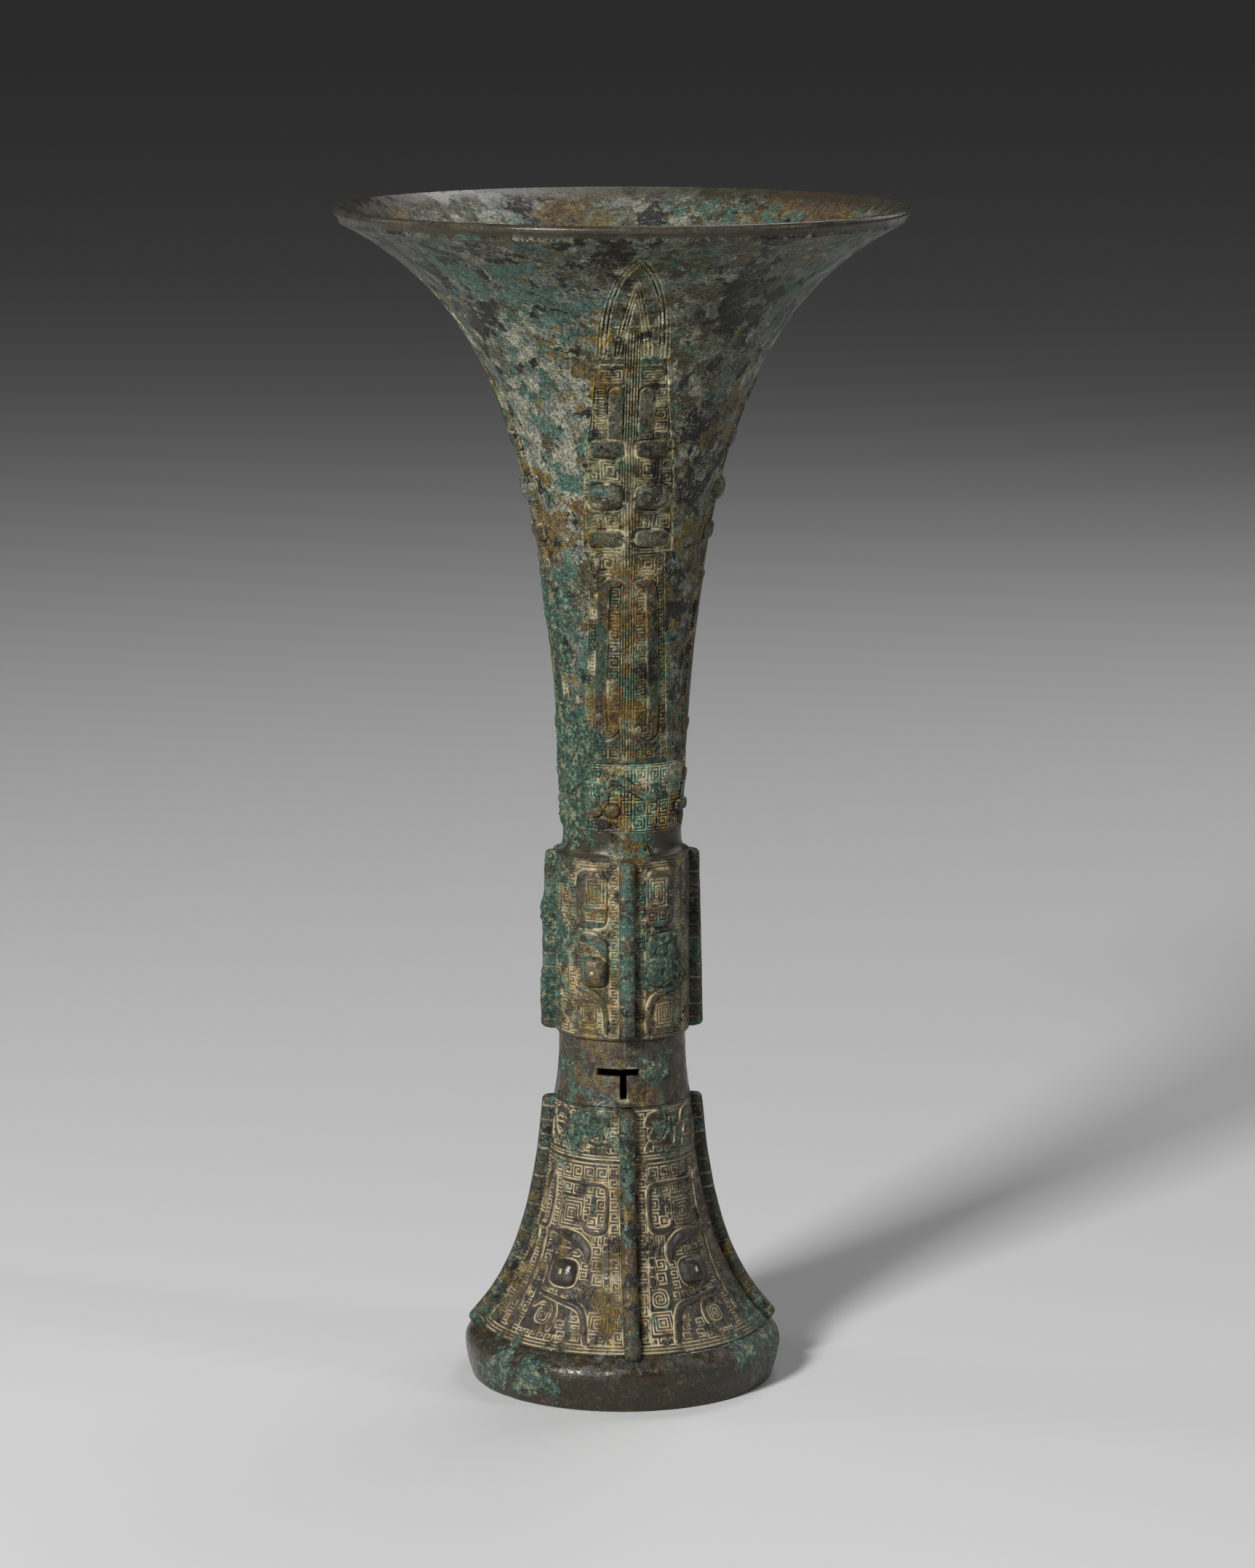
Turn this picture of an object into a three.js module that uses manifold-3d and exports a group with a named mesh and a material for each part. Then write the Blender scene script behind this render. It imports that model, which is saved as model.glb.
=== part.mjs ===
// A cast bronze gu: a slender ritual beaker with a trumpet mouth, a straight knop, a collar
// pierced with two T slots and a splayed foot on a standing ring. Four notched flanges stand on
// the knop and four on the foot, four pointed blades climb the throat, and a mask in low relief
// faces front and back on the knop and on the foot.
// Millimetres, +Z up. The origin is the centre of the standing face and the front faces -Y.
// Left and right on a mask or a blade are as seen by someone who faces it.

import * as THREE from 'three';
import { mergeVertices } from 'three/addons/utils/BufferGeometryUtils.js';
import Module from 'manifold-3d';

// Heights of the registers, from the standing face up
const RING_HEIGHT = 14.3;
const SKIRT_HEIGHT = 61.7;
const COLLAR_HEIGHT = 17.6;
const KNOP_HEIGHT = 48.3;
const THROAT_HEIGHT = 168.1;

// Radii and steps between neighbouring registers
const RIM_RADIUS = 74.5;
const NECK_RADIUS = 15.3;
const KNOP_STEP = 2.3;
const COLLAR_STEP = 1.0;
const FOOT_TOP_RADIUS = 18.0;
const FOOT_FLARE_RADIUS = 38.0;
const RING_OVERHANG = 4.0;

// Walls and seams
const WALL = 2.4;
const SEAM_GAP = 0.3;
const CUP_FLOOR_THICKNESS = 3.0;
const CUP_FLOOR_DISH = 1.2;
const KNOP_SHOULDER = 2.5;
const KNOP_SHOULDER_SLOPE = 2.0;

// Curve of the trumpet: how far its end handles reach along and across
const NECK_HANDLE_RISE = 92.0;
const NECK_HANDLE_SPREAD = 3.9;
const MOUTH_HANDLE_DROP = 22.8;
const MOUTH_HANDLE_INSET = 45.3;
const LIP_RADIUS = 1.6;
const LIP_DROP = 4.0;
const LIP_INSET = 1.5;
const LIP_START = -75;
const LIP_END = 125;

// Raised band round the foot of the throat
const BAND_FOOT = 6.6;
const BAND_HEIGHT = 18.3;
const BAND_RAISE = 0.5;

// Curve of the collar and of the foot skirt
const COLLAR_WAIST_RISE = 7.0;
const COLLAR_WAIST_INSET = 1.4;
const SKIRT_TOP_HANDLE_DROP = 28.3;
const SKIRT_TOP_HANDLE_SPREAD = 2.1;
const SKIRT_LOW_HANDLE_RISE = 14.6;
const SKIRT_LOW_HANDLE_INSET = 13.4;

// Standing ring
const RING_SHOULDER_DROP = 3.4;
const RING_SHOULDER_ROUND = 1.4;
const RING_TAPER = 1.6;
const RING_EDGE_ROUND = 1.2;
const RING_BASE_WIDTH = 2.6;

// Pierced T slots of the collar, front and back
const SLOT_BAR_WIDTH = 13.6;
const SLOT_BAR_HEIGHT = 1.7;
const SLOT_BAR_FOOT = 8.2;
const SLOT_STEM_WIDTH = 1.8;
const SLOT_STEM_HEIGHT = 6.2;

// Flanges: reach is measured out from the wall, square to it
const FLANGE_THICKNESS = 4.0;
const FLANGE_CORNER = 1.6;
const FLANGE_END_CLEARANCE = 0.8;
const KNOP_FLANGE_REACH_TOP = 2.7;
const KNOP_FLANGE_REACH_LOW = 3.8;
const FOOT_FLANGE_REACH = 3.3;
const FOOT_FLANGE_OVERHANG = 1.6;
const GROOVE_WIDTH = 0.7;
const GROOVE_DEPTH = 0.5;
const KNOP_FLANGE_GROOVES = 13;
const FOOT_FLANGE_GROOVES = 17;

// Blades of the throat: half widths at shares of the blade's length, then a pointed arch
const BLADE_TIP_DROP = 8.0;
const BLADE_THICKNESS = 0.6;
const BLADE_FOOT_HALF = 11.6;
const BLADE_WAIST_HALF = 9.8;
const BLADE_SHELF_HALF = 12.0;
const BLADE_SHOULDER_HALF = 8.9;
const BLADE_TIP_HALF = 0.5;
const BLADE_WAIST_AT = 0.38;
const BLADE_SHELF_AT = 0.42;
const BLADE_SHELF_END_AT = 0.54;
const BLADE_SHOULDER_AT = 0.79;
const BLADE_ARCH_POWER = 3.5;

// Raised members of the masks. A path runs through [degrees from the flange, share of the
// register's height], and a width is the member's breadth at its fullest.
const RELIEF_HEIGHT = 0.8;
const RELIEF_CREST = 0.7;
const RELIEF_TAPER = 0.45;
const KNOP_HORN = {
  width: 2.6,
  path: [[44, 0.9], [30, 0.905], [20, 0.88], [17.5, 0.79], [21, 0.69], [32, 0.66], [42, 0.665]],
};
const KNOP_BROW = { width: 2.2, path: [[41, 0.575], [30, 0.58], [20, 0.55], [14, 0.47]] };
const KNOP_JAW = { width: 2.2, path: [[38, 0.25], [26, 0.235], [16.5, 0.195], [13.5, 0.06]] };
const FOOT_HORN = {
  width: 3.0,
  path: [[52, 0.66], [36, 0.665], [24, 0.65], [19, 0.59], [19, 0.53], [23, 0.485], [30, 0.475]],
};
const FOOT_BROW = { width: 3.2, path: [[25.5, 0.355], [29, 0.4], [38, 0.43], [51, 0.445]] };
const FOOT_JAW = { width: 2.6, path: [[48, 0.205], [36, 0.2], [25.5, 0.18], [21.5, 0.12], [19.5, 0.03]] };

// Eyes: places as on the masks, breadth along the wall, height and rise off the wall
const BLADE_EYE = { degrees: 14.2, share: 0.522, breadth: 8.9, height: 6.2, rise: 1.3 };
const KNOP_EYE = { degrees: 28.5, share: 0.38, breadth: 7.4, height: 7.2, rise: 1.8 };
const FOOT_EYE = { degrees: 39.5, share: 0.295, breadth: 8.5, height: 7.8, rise: 2.0 };
const EYE_SQUARENESS = 3.0;
const EYE_SHOULDER = { scale: 0.95, rise: 0.55 };
const EYE_CROWN = { scale: 0.6, rise: 0.92 };

// Facets
const SEGMENTS = 36;
const THROAT_STEPS = 16;
const SKIRT_STEPS = 9;
const COLLAR_STEPS = 3;
const LIP_STEPS = 3;
const CORNER_STEPS = 3;
const BLADE_COLUMNS = 6;
const BLADE_ARCH_ROWS = 4;
const RELIEF_STEPS = 7;
const EYE_SIDES = 10;

// Levels and radii that follow
const SKIRT_TOP = RING_HEIGHT + SKIRT_HEIGHT;
const COLLAR_TOP = SKIRT_TOP + COLLAR_HEIGHT;
const KNOP_TOP = COLLAR_TOP + KNOP_HEIGHT;
const RIM_TOP = KNOP_TOP + THROAT_HEIGHT;
const BAND_LOW = KNOP_TOP + BAND_FOOT;
const BAND_HIGH = BAND_LOW + BAND_HEIGHT;
const BLADE_LOW = BAND_HIGH + SEAM_GAP;
const BLADE_HIGH = RIM_TOP - BLADE_TIP_DROP;
const KNOP_RADIUS = NECK_RADIUS + KNOP_STEP;
const KNOP_BORE = KNOP_RADIUS - WALL;
const NECK_BORE = NECK_RADIUS - WALL;
const COLLAR_TOP_RADIUS = KNOP_RADIUS - COLLAR_STEP;
const RING_RADIUS = FOOT_FLARE_RADIUS + RING_OVERHANG;
const SEGMENT_ANGLE = (2 * Math.PI) / SEGMENTS;
const FLAT_SHARE = Math.cos(SEGMENT_ANGLE / 2);
const FACES = [['front', 0], ['right', 90], ['back', 180], ['left', 270]];
const MASK_FACES = FACES.filter(([face]) => face === 'front' || face === 'back');
const SIDES = [['left', -1], ['right', 1]];

const wasm = await Module();
wasm.setup();

function point(radius, height) {
  return new THREE.Vector2(radius, height);
}

// Solid helpers

// Joins coincident corners, drops empty triangles and turns the faces outwards.
function closedBody(geometry) {
  geometry.deleteAttribute('normal');
  geometry.deleteAttribute('uv');
  const welded = mergeVertices(geometry);
  const corners = welded.index.array;
  const place = welded.attributes.position;
  const [a, b, c] = [new THREE.Vector3(), new THREE.Vector3(), new THREE.Vector3()];
  const kept = [];
  let volume = 0;
  for (let i = 0; i < corners.length; i += 3) {
    const [p, q, r] = [corners[i], corners[i + 1], corners[i + 2]];
    if (p === q || q === r || r === p) continue;
    kept.push(p, q, r);
    a.fromBufferAttribute(place, p);
    b.fromBufferAttribute(place, q);
    c.fromBufferAttribute(place, r);
    volume += a.dot(b.cross(c));
  }
  welded.setIndex(volume < 0 ? kept.reverse() : kept);
  return welded;
}

function toSolid(geometry) {
  const body = closedBody(geometry);
  const vertProperties = new Float32Array(body.attributes.position.array);
  const triVerts = new Uint32Array(body.index.array);
  return new wasm.Manifold(new wasm.Mesh({ numProp: 3, vertProperties, triVerts }));
}

function toGeometry(solid) {
  const mesh = solid.getMesh();
  const geometry = new THREE.BufferGeometry();
  geometry.setAttribute('position', new THREE.BufferAttribute(mesh.vertProperties, mesh.numProp));
  geometry.setIndex(new THREE.BufferAttribute(mesh.triVerts, 1));
  return geometry;
}

function cutAway(geometry, cutters) {
  let solid = toSolid(geometry);
  for (const cutter of cutters) solid = solid.subtract(toSolid(cutter));
  return toGeometry(solid);
}

// Revolves a profile of (radius, height) about +Z, with a flat facet facing each flange.
function revolve(profile) {
  const loop = profile[0].x > 0 ? [...profile, profile[0]] : profile;
  const lathe = new THREE.LatheGeometry(loop, SEGMENTS, -SEGMENT_ANGLE / 2);
  return closedBody(lathe.rotateX(Math.PI / 2));
}

function fromTriangles(points, indices) {
  const geometry = new THREE.BufferGeometry().setFromPoints(points);
  geometry.setIndex(indices);
  return closedBody(geometry);
}

// A plate between two matching sheets of points, each a list of rows, with its rim closed.
function plate(outer, inner) {
  const rows = outer.length;
  const columns = outer[0].length;
  const indices = [];
  const upper = (i, j) => i * columns + j;
  const lower = (i, j) => (rows + i) * columns + j;
  const quad = (a, b, c, d) => indices.push(a, b, c, a, c, d);
  for (let i = 0; i < rows - 1; i += 1) {
    for (let j = 0; j < columns - 1; j += 1) {
      quad(upper(i, j), upper(i, j + 1), upper(i + 1, j + 1), upper(i + 1, j));
      quad(lower(i, j), lower(i + 1, j), lower(i + 1, j + 1), lower(i, j + 1));
    }
    quad(upper(i, 0), upper(i + 1, 0), lower(i + 1, 0), lower(i, 0));
    const edge = columns - 1;
    quad(upper(i + 1, edge), upper(i, edge), lower(i, edge), lower(i + 1, edge));
  }
  for (let j = 0; j < columns - 1; j += 1) {
    quad(upper(0, j + 1), upper(0, j), lower(0, j), lower(0, j + 1));
    const end = rows - 1;
    quad(upper(end, j), upper(end, j + 1), lower(end, j + 1), lower(end, j));
  }
  return fromTriangles([...outer.flat(), ...inner.flat()], indices);
}

// A dome through rings of points, closed by a fan at each end.
function dome(rings, footCentre, crown) {
  const sides = rings[0].length;
  const points = [...rings.flat(), footCentre, crown];
  const foot = points.length - 2;
  const top = points.length - 1;
  const indices = [];
  for (let k = 0; k < sides; k += 1) {
    const next = (k + 1) % sides;
    for (let ring = 0; ring < rings.length - 1; ring += 1) {
      const low = ring * sides;
      const high = low + sides;
      indices.push(low + k, low + next, high + next, low + k, high + next, high + k);
    }
    const last = (rings.length - 1) * sides;
    indices.push(foot, next, k, top, last + k, last + next);
  }
  return fromTriangles(points, indices);
}

// Walls: the outer outline of a register as points of rising height

function bezierWall(start, startHandle, endHandle, end, steps) {
  return new THREE.CubicBezierCurve(start, startHandle, endHandle, end).getPoints(steps);
}

const throatEnd = point(RIM_RADIUS - LIP_INSET, RIM_TOP - LIP_DROP);
const throatWall = bezierWall(
  point(NECK_RADIUS, KNOP_TOP),
  point(NECK_RADIUS + NECK_HANDLE_SPREAD, KNOP_TOP + NECK_HANDLE_RISE),
  point(throatEnd.x - MOUTH_HANDLE_INSET, throatEnd.y - MOUTH_HANDLE_DROP),
  throatEnd,
  THROAT_STEPS,
);
const skirtWall = bezierWall(
  point(FOOT_FLARE_RADIUS, RING_HEIGHT),
  point(FOOT_FLARE_RADIUS - SKIRT_LOW_HANDLE_INSET, RING_HEIGHT + SKIRT_LOW_HANDLE_RISE),
  point(FOOT_TOP_RADIUS + SKIRT_TOP_HANDLE_SPREAD, SKIRT_TOP - SKIRT_TOP_HANDLE_DROP),
  point(FOOT_TOP_RADIUS, SKIRT_TOP),
  SKIRT_STEPS,
);
const collarWall = new THREE.QuadraticBezierCurve(
  point(FOOT_TOP_RADIUS, SKIRT_TOP),
  point(FOOT_TOP_RADIUS - COLLAR_WAIST_INSET, SKIRT_TOP + COLLAR_WAIST_RISE),
  point(COLLAR_TOP_RADIUS, COLLAR_TOP),
).getPoints(COLLAR_STEPS);
const knopWall = [point(KNOP_RADIUS, COLLAR_TOP), point(KNOP_RADIUS, KNOP_TOP)];

// Radius and outward normal of a wall at a height.
function wallAt(wall, height) {
  let i = 1;
  while (i < wall.length - 1 && wall[i].y < height) i += 1;
  const [low, high] = [wall[i - 1], wall[i]];
  const share = (height - low.y) / (high.y - low.y);
  const normal = point(high.y - low.y, low.x - high.x).normalize();
  return { radius: low.x + (high.x - low.x) * share, normal };
}

// The inner outline of a wall, the wall's thickness away from the outer one.
function boreOf(wall) {
  return wall.map((outer) => point(outer.x - WALL / wallAt(wall, outer.y).normal.x, outer.y));
}

// A point that stands off a wall, with the angle counted from the front towards +X.
function offWall(wall, angle, height, lift) {
  const { radius, normal } = wallAt(wall, height);
  const reach = radius + lift * normal.x;
  return new THREE.Vector3(reach * Math.sin(angle), -reach * Math.cos(angle), height + lift * normal.y);
}

function heightOf(wall, share) {
  const low = wall[0].y;
  return low + (wall.at(-1).y - low) * share;
}

// Shells

function trumpetMouth() {
  const raised = (height) => point(wallAt(throatWall, height).radius + BAND_RAISE, height);
  const flush = (height) => point(wallAt(throatWall, height).radius, height);
  const lip = new THREE.Path().absarc(
    RIM_RADIUS - LIP_RADIUS,
    RIM_TOP - LIP_RADIUS,
    LIP_RADIUS,
    THREE.MathUtils.degToRad(LIP_START),
    THREE.MathUtils.degToRad(LIP_END),
  );
  return revolve([
    throatWall[0],
    flush(BAND_LOW),
    raised(BAND_LOW),
    raised(BAND_HIGH),
    flush(BAND_HIGH),
    ...throatWall.filter((outer) => outer.y > BAND_HIGH + BAND_RAISE),
    ...lip.getPoints(LIP_STEPS),
    ...boreOf(throatWall).reverse(),
  ]);
}

function knopSleeve() {
  const shoulderFoot = KNOP_TOP - KNOP_SHOULDER;
  return revolve([
    ...knopWall,
    point(NECK_BORE, KNOP_TOP),
    point(NECK_BORE, shoulderFoot),
    point(KNOP_BORE, shoulderFoot - KNOP_SHOULDER_SLOPE),
    point(KNOP_BORE, COLLAR_TOP),
  ]);
}

// The bottom of the cup is a dished disc that lies on the collar, inside the knop.
function cupFloor() {
  const radius = KNOP_BORE - SEAM_GAP;
  const top = COLLAR_TOP + CUP_FLOOR_THICKNESS;
  const dish = new THREE.QuadraticBezierCurve(
    point(radius, top),
    point(radius / 2, top - CUP_FLOOR_DISH),
    point(0, top - CUP_FLOOR_DISH),
  );
  return revolve([point(0, COLLAR_TOP), point(radius, COLLAR_TOP), ...dish.getPoints(CORNER_STEPS)]);
}

function collar() {
  const ring = revolve([...collarWall, ...boreOf(collarWall).reverse()]);
  const barFoot = SKIRT_TOP + SLOT_BAR_FOOT;
  const depth = 2 * FOOT_TOP_RADIUS;
  const cutters = [1, -1].flatMap((side) => {
    const bar = new THREE.BoxGeometry(SLOT_BAR_WIDTH, depth, SLOT_BAR_HEIGHT);
    bar.translate(0, side * FOOT_TOP_RADIUS, barFoot + SLOT_BAR_HEIGHT / 2);
    const stemHeight = SLOT_STEM_HEIGHT + SLOT_BAR_HEIGHT / 2;
    const stem = new THREE.BoxGeometry(SLOT_STEM_WIDTH, depth, stemHeight);
    stem.translate(0, side * FOOT_TOP_RADIUS, barFoot - SLOT_STEM_HEIGHT + stemHeight / 2);
    return [bar, stem];
  });
  return cutAway(ring, cutters);
}

function footSkirt() {
  return revolve([...skirtWall, ...boreOf(skirtWall).reverse()]);
}

function footRing() {
  const bore = boreOf(skirtWall)[0];
  const shoulder = RING_HEIGHT - RING_SHOULDER_DROP;
  const foot = RING_RADIUS - RING_TAPER;
  const outline = new THREE.Path();
  outline.moveTo(bore.x, bore.y);
  outline.lineTo(FOOT_FLARE_RADIUS, RING_HEIGHT);
  outline.lineTo(RING_RADIUS - RING_SHOULDER_ROUND, shoulder + RING_SHOULDER_ROUND);
  outline.quadraticCurveTo(RING_RADIUS, shoulder, RING_RADIUS, shoulder - RING_SHOULDER_ROUND);
  outline.lineTo(foot, RING_EDGE_ROUND);
  outline.quadraticCurveTo(foot, 0, foot - RING_EDGE_ROUND, 0);
  outline.lineTo(foot - RING_EDGE_ROUND - RING_BASE_WIDTH, 0);
  return revolve(outline.getPoints(CORNER_STEPS));
}

// Flanges

// One flange that faces -Y: its root follows the flat facet of the wall, its side faces are
// scored with level grooves, and overhang carries its lower end out past its root.
function flange(wall, reachLow, reachTop, grooves, overhang) {
  const low = wall[0].y + FLANGE_END_CLEARANCE;
  const top = wall.at(-1).y - FLANGE_END_CLEARANCE;
  const inside = wall.filter((outer) => outer.y > low + FLANGE_CORNER && outer.y < top - FLANGE_CORNER);
  const heights = [low + FLANGE_CORNER, ...inside.map((outer) => outer.y), top - FLANGE_CORNER];
  const edge = (height, lift) => {
    const { radius, normal } = wallAt(wall, height);
    return point(radius * FLAT_SHARE + lift * normal.x, height + lift * normal.y);
  };
  const reachAt = (height) => THREE.MathUtils.mapLinear(height, low, top, reachLow, reachTop);
  const rootLow = edge(low, SEAM_GAP);
  const rootTop = edge(top, SEAM_GAP);
  const cornerLow = edge(low - overhang * wallAt(wall, low).normal.x, reachLow);
  const cornerTop = edge(top, reachTop);
  const outline = new THREE.Shape();
  outline.moveTo(rootLow.x, rootLow.y);
  outline.lineTo(cornerLow.x - FLANGE_CORNER, rootLow.y);
  const outer = heights.map((height) => edge(height, reachAt(height)));
  outline.quadraticCurveTo(cornerLow.x, cornerLow.y, outer[0].x, outer[0].y);
  outer.slice(1).forEach((corner) => outline.lineTo(corner.x, corner.y));
  outline.quadraticCurveTo(cornerTop.x, cornerTop.y, cornerTop.x - FLANGE_CORNER, cornerTop.y);
  outline.lineTo(rootTop.x, rootTop.y);
  heights.toReversed().forEach((height) => {
    const root = edge(height, SEAM_GAP);
    outline.lineTo(root.x, root.y);
  });
  const slab = new THREE.ExtrudeGeometry(outline, {
    depth: FLANGE_THICKNESS,
    bevelEnabled: false,
    curveSegments: CORNER_STEPS,
  });
  slab.translate(0, 0, -FLANGE_THICKNESS / 2);
  const pitch = (top - low) / grooves;
  const cutters = [];
  for (let i = 0; i < grooves; i += 1) {
    const height = low + (i + 0.5) * pitch;
    const outerEdge = edge(height, reachAt(height)).x;
    for (const side of [-1, 1]) {
      const groove = new THREE.BoxGeometry(2 * outerEdge, GROOVE_WIDTH, 2 * GROOVE_DEPTH);
      groove.translate(outerEdge, height, (side * FLANGE_THICKNESS) / 2);
      cutters.push(groove);
    }
  }
  return cutAway(slab, cutters).rotateX(Math.PI / 2).rotateZ(-Math.PI / 2);
}

// Relief

function bladeHalfWidths() {
  const rows = [
    [0, BLADE_FOOT_HALF],
    [BLADE_WAIST_AT / 2, (BLADE_FOOT_HALF + BLADE_WAIST_HALF) / 2],
    [BLADE_WAIST_AT, BLADE_WAIST_HALF],
    [BLADE_SHELF_AT, BLADE_SHELF_HALF],
    [BLADE_SHELF_END_AT, BLADE_SHELF_HALF],
    [(BLADE_SHELF_END_AT + BLADE_SHOULDER_AT) / 2, (BLADE_SHELF_HALF + BLADE_SHOULDER_HALF) / 2],
  ];
  for (let i = 0; i <= BLADE_ARCH_ROWS; i += 1) {
    const rise = i / BLADE_ARCH_ROWS;
    const half = BLADE_TIP_HALF + (BLADE_SHOULDER_HALF - BLADE_TIP_HALF) * (1 - rise ** BLADE_ARCH_POWER);
    rows.push([BLADE_SHOULDER_AT + (1 - BLADE_SHOULDER_AT) * rise, half]);
  }
  return rows;
}

function blade() {
  const sheet = (lift) => bladeHalfWidths().map(([share, half]) => {
    const height = BLADE_LOW + (BLADE_HIGH - BLADE_LOW) * share;
    const spread = half / wallAt(throatWall, height).radius;
    return Array.from({ length: BLADE_COLUMNS + 1 }, (_, j) => {
      const across = (2 * j) / BLADE_COLUMNS - 1;
      return offWall(throatWall, across * spread, height, lift);
    });
  });
  return plate(sheet(SEAM_GAP + BLADE_THICKNESS), sheet(SEAM_GAP));
}

// A raised member that runs along a curve on a wall and narrows towards its ends.
function reliefBand(wall, member, side) {
  const places = member.path.map(([degrees, share]) => {
    const height = heightOf(wall, share);
    const arc = THREE.MathUtils.degToRad(degrees) * wallAt(wall, height).radius;
    return point(side * arc, height);
  });
  const curve = new THREE.SplineCurve(places);
  const rows = Array.from({ length: RELIEF_STEPS + 1 }, (_, i) => {
    const along = i / RELIEF_STEPS;
    const fullness = RELIEF_TAPER + (1 - RELIEF_TAPER) * Math.sin(Math.PI * along);
    const tangent = curve.getTangentAt(along);
    const across = point(-tangent.y, tangent.x);
    return { place: curve.getPointAt(along), across, half: (member.width * fullness) / 2 };
  });
  const sheet = (lift, breadth) => rows.map(({ place, across, half }) => [-1, 1].map((edge) => {
    const spot = place.clone().addScaledVector(across, edge * half * breadth);
    return offWall(wall, spot.x / wallAt(wall, spot.y).radius, spot.y, lift);
  }));
  return plate(sheet(SEAM_GAP + RELIEF_HEIGHT, RELIEF_CREST), sheet(SEAM_GAP, 1));
}

// A pillow-shaped eye with a rounded square outline, standing on a wall or on a plate over it.
function eye(wall, height, size, seat, side) {
  const middle = side * THREE.MathUtils.degToRad(size.degrees);
  const { radius } = wallAt(wall, height);
  const at = (x, y, lift) => offWall(wall, middle + x / radius, height + y, seat + lift);
  const ring = (scale, lift) => Array.from({ length: EYE_SIDES }, (_, k) => {
    const turn = ((k + 0.5) / EYE_SIDES) * 2 * Math.PI;
    const [c, s] = [Math.cos(turn), Math.sin(turn)];
    const swell = (Math.abs(c) ** EYE_SQUARENESS + Math.abs(s) ** EYE_SQUARENESS) ** (-1 / EYE_SQUARENESS);
    return at((scale * swell * c * size.breadth) / 2, (scale * swell * s * size.height) / 2, lift);
  });
  const upper = [EYE_SHOULDER, EYE_CROWN].map((level) => ring(level.scale, level.rise * size.rise));
  return dome([ring(1, 0), ...upper], at(0, 0, 0), at(0, 0, size.rise));
}

// Assembly

const polishedBronze = { color: 0x5a4a38, roughness: 0.42, metalness: 0.7 };
const carvedBronze = { color: 0x4a3b2c, roughness: 0.55, metalness: 0.6 };
const greenBronze = { color: 0x5f6f58, roughness: 0.65, metalness: 0.4 };

const vessel = new THREE.Group();

function addPiece(name, geometry, look, degrees = 0) {
  const mesh = new THREE.Mesh(geometry, new THREE.MeshStandardMaterial(look));
  mesh.name = name;
  mesh.rotation.z = THREE.MathUtils.degToRad(degrees);
  vessel.add(mesh);
}

function addPairs(name, faces, makeSide, look) {
  for (const [hand, side] of SIDES) {
    const geometry = makeSide(side);
    for (const [face, degrees] of faces) addPiece(`${name}_${face}_${hand}`, geometry, look, degrees);
  }
}

addPiece('trumpet_mouth', trumpetMouth(), greenBronze);
addPiece('knop_sleeve', knopSleeve(), carvedBronze);
addPiece('cup_floor', cupFloor(), greenBronze);
addPiece('collar', collar(), polishedBronze);
addPiece('foot_skirt', footSkirt(), carvedBronze);
addPiece('foot_ring', footRing(), polishedBronze);

const knopFlange = flange(knopWall, KNOP_FLANGE_REACH_LOW, KNOP_FLANGE_REACH_TOP, KNOP_FLANGE_GROOVES, 0);
const footFlange = flange(
  skirtWall,
  FOOT_FLANGE_REACH,
  FOOT_FLANGE_REACH,
  FOOT_FLANGE_GROOVES,
  FOOT_FLANGE_OVERHANG,
);
const throatBlade = blade();
for (const [face, degrees] of FACES) {
  addPiece(`knop_flange_${face}`, knopFlange, greenBronze, degrees);
  addPiece(`foot_flange_${face}`, footFlange, greenBronze, degrees);
  addPiece(`blade_${face}`, throatBlade, greenBronze, degrees);
}

const bladeEyeHeight = BLADE_LOW + (BLADE_HIGH - BLADE_LOW) * BLADE_EYE.share;
const bladeEyeSeat = SEAM_GAP + BLADE_THICKNESS + SEAM_GAP;
const bladeEye = (side) => eye(throatWall, bladeEyeHeight, BLADE_EYE, bladeEyeSeat, side);
addPairs('blade_eye', FACES, bladeEye, greenBronze);
for (const [register, wall, size] of [['knop', knopWall, KNOP_EYE], ['foot', skirtWall, FOOT_EYE]]) {
  const maskEye = (side) => eye(wall, heightOf(wall, size.share), size, SEAM_GAP, side);
  addPairs(`${register}_eye`, MASK_FACES, maskEye, polishedBronze);
}

const members = [
  ['knop_horn', knopWall, KNOP_HORN],
  ['knop_brow', knopWall, KNOP_BROW],
  ['knop_jaw', knopWall, KNOP_JAW],
  ['foot_horn', skirtWall, FOOT_HORN],
  ['foot_brow', skirtWall, FOOT_BROW],
  ['foot_jaw', skirtWall, FOOT_JAW],
];
for (const [name, wall, member] of members) {
  addPairs(name, MASK_FACES, (side) => reliefBand(wall, member, side), carvedBronze);
}

export default vessel;
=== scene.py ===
"""A cast bronze gu beaker with carved registers, flanges and a thick patina, on a pale studio floor.

Shapes are worked out in millimetres and written to the meshes in metres. The front faces -Y, and
an angle on the vessel is counted from the front towards +X.
"""
import math

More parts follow.
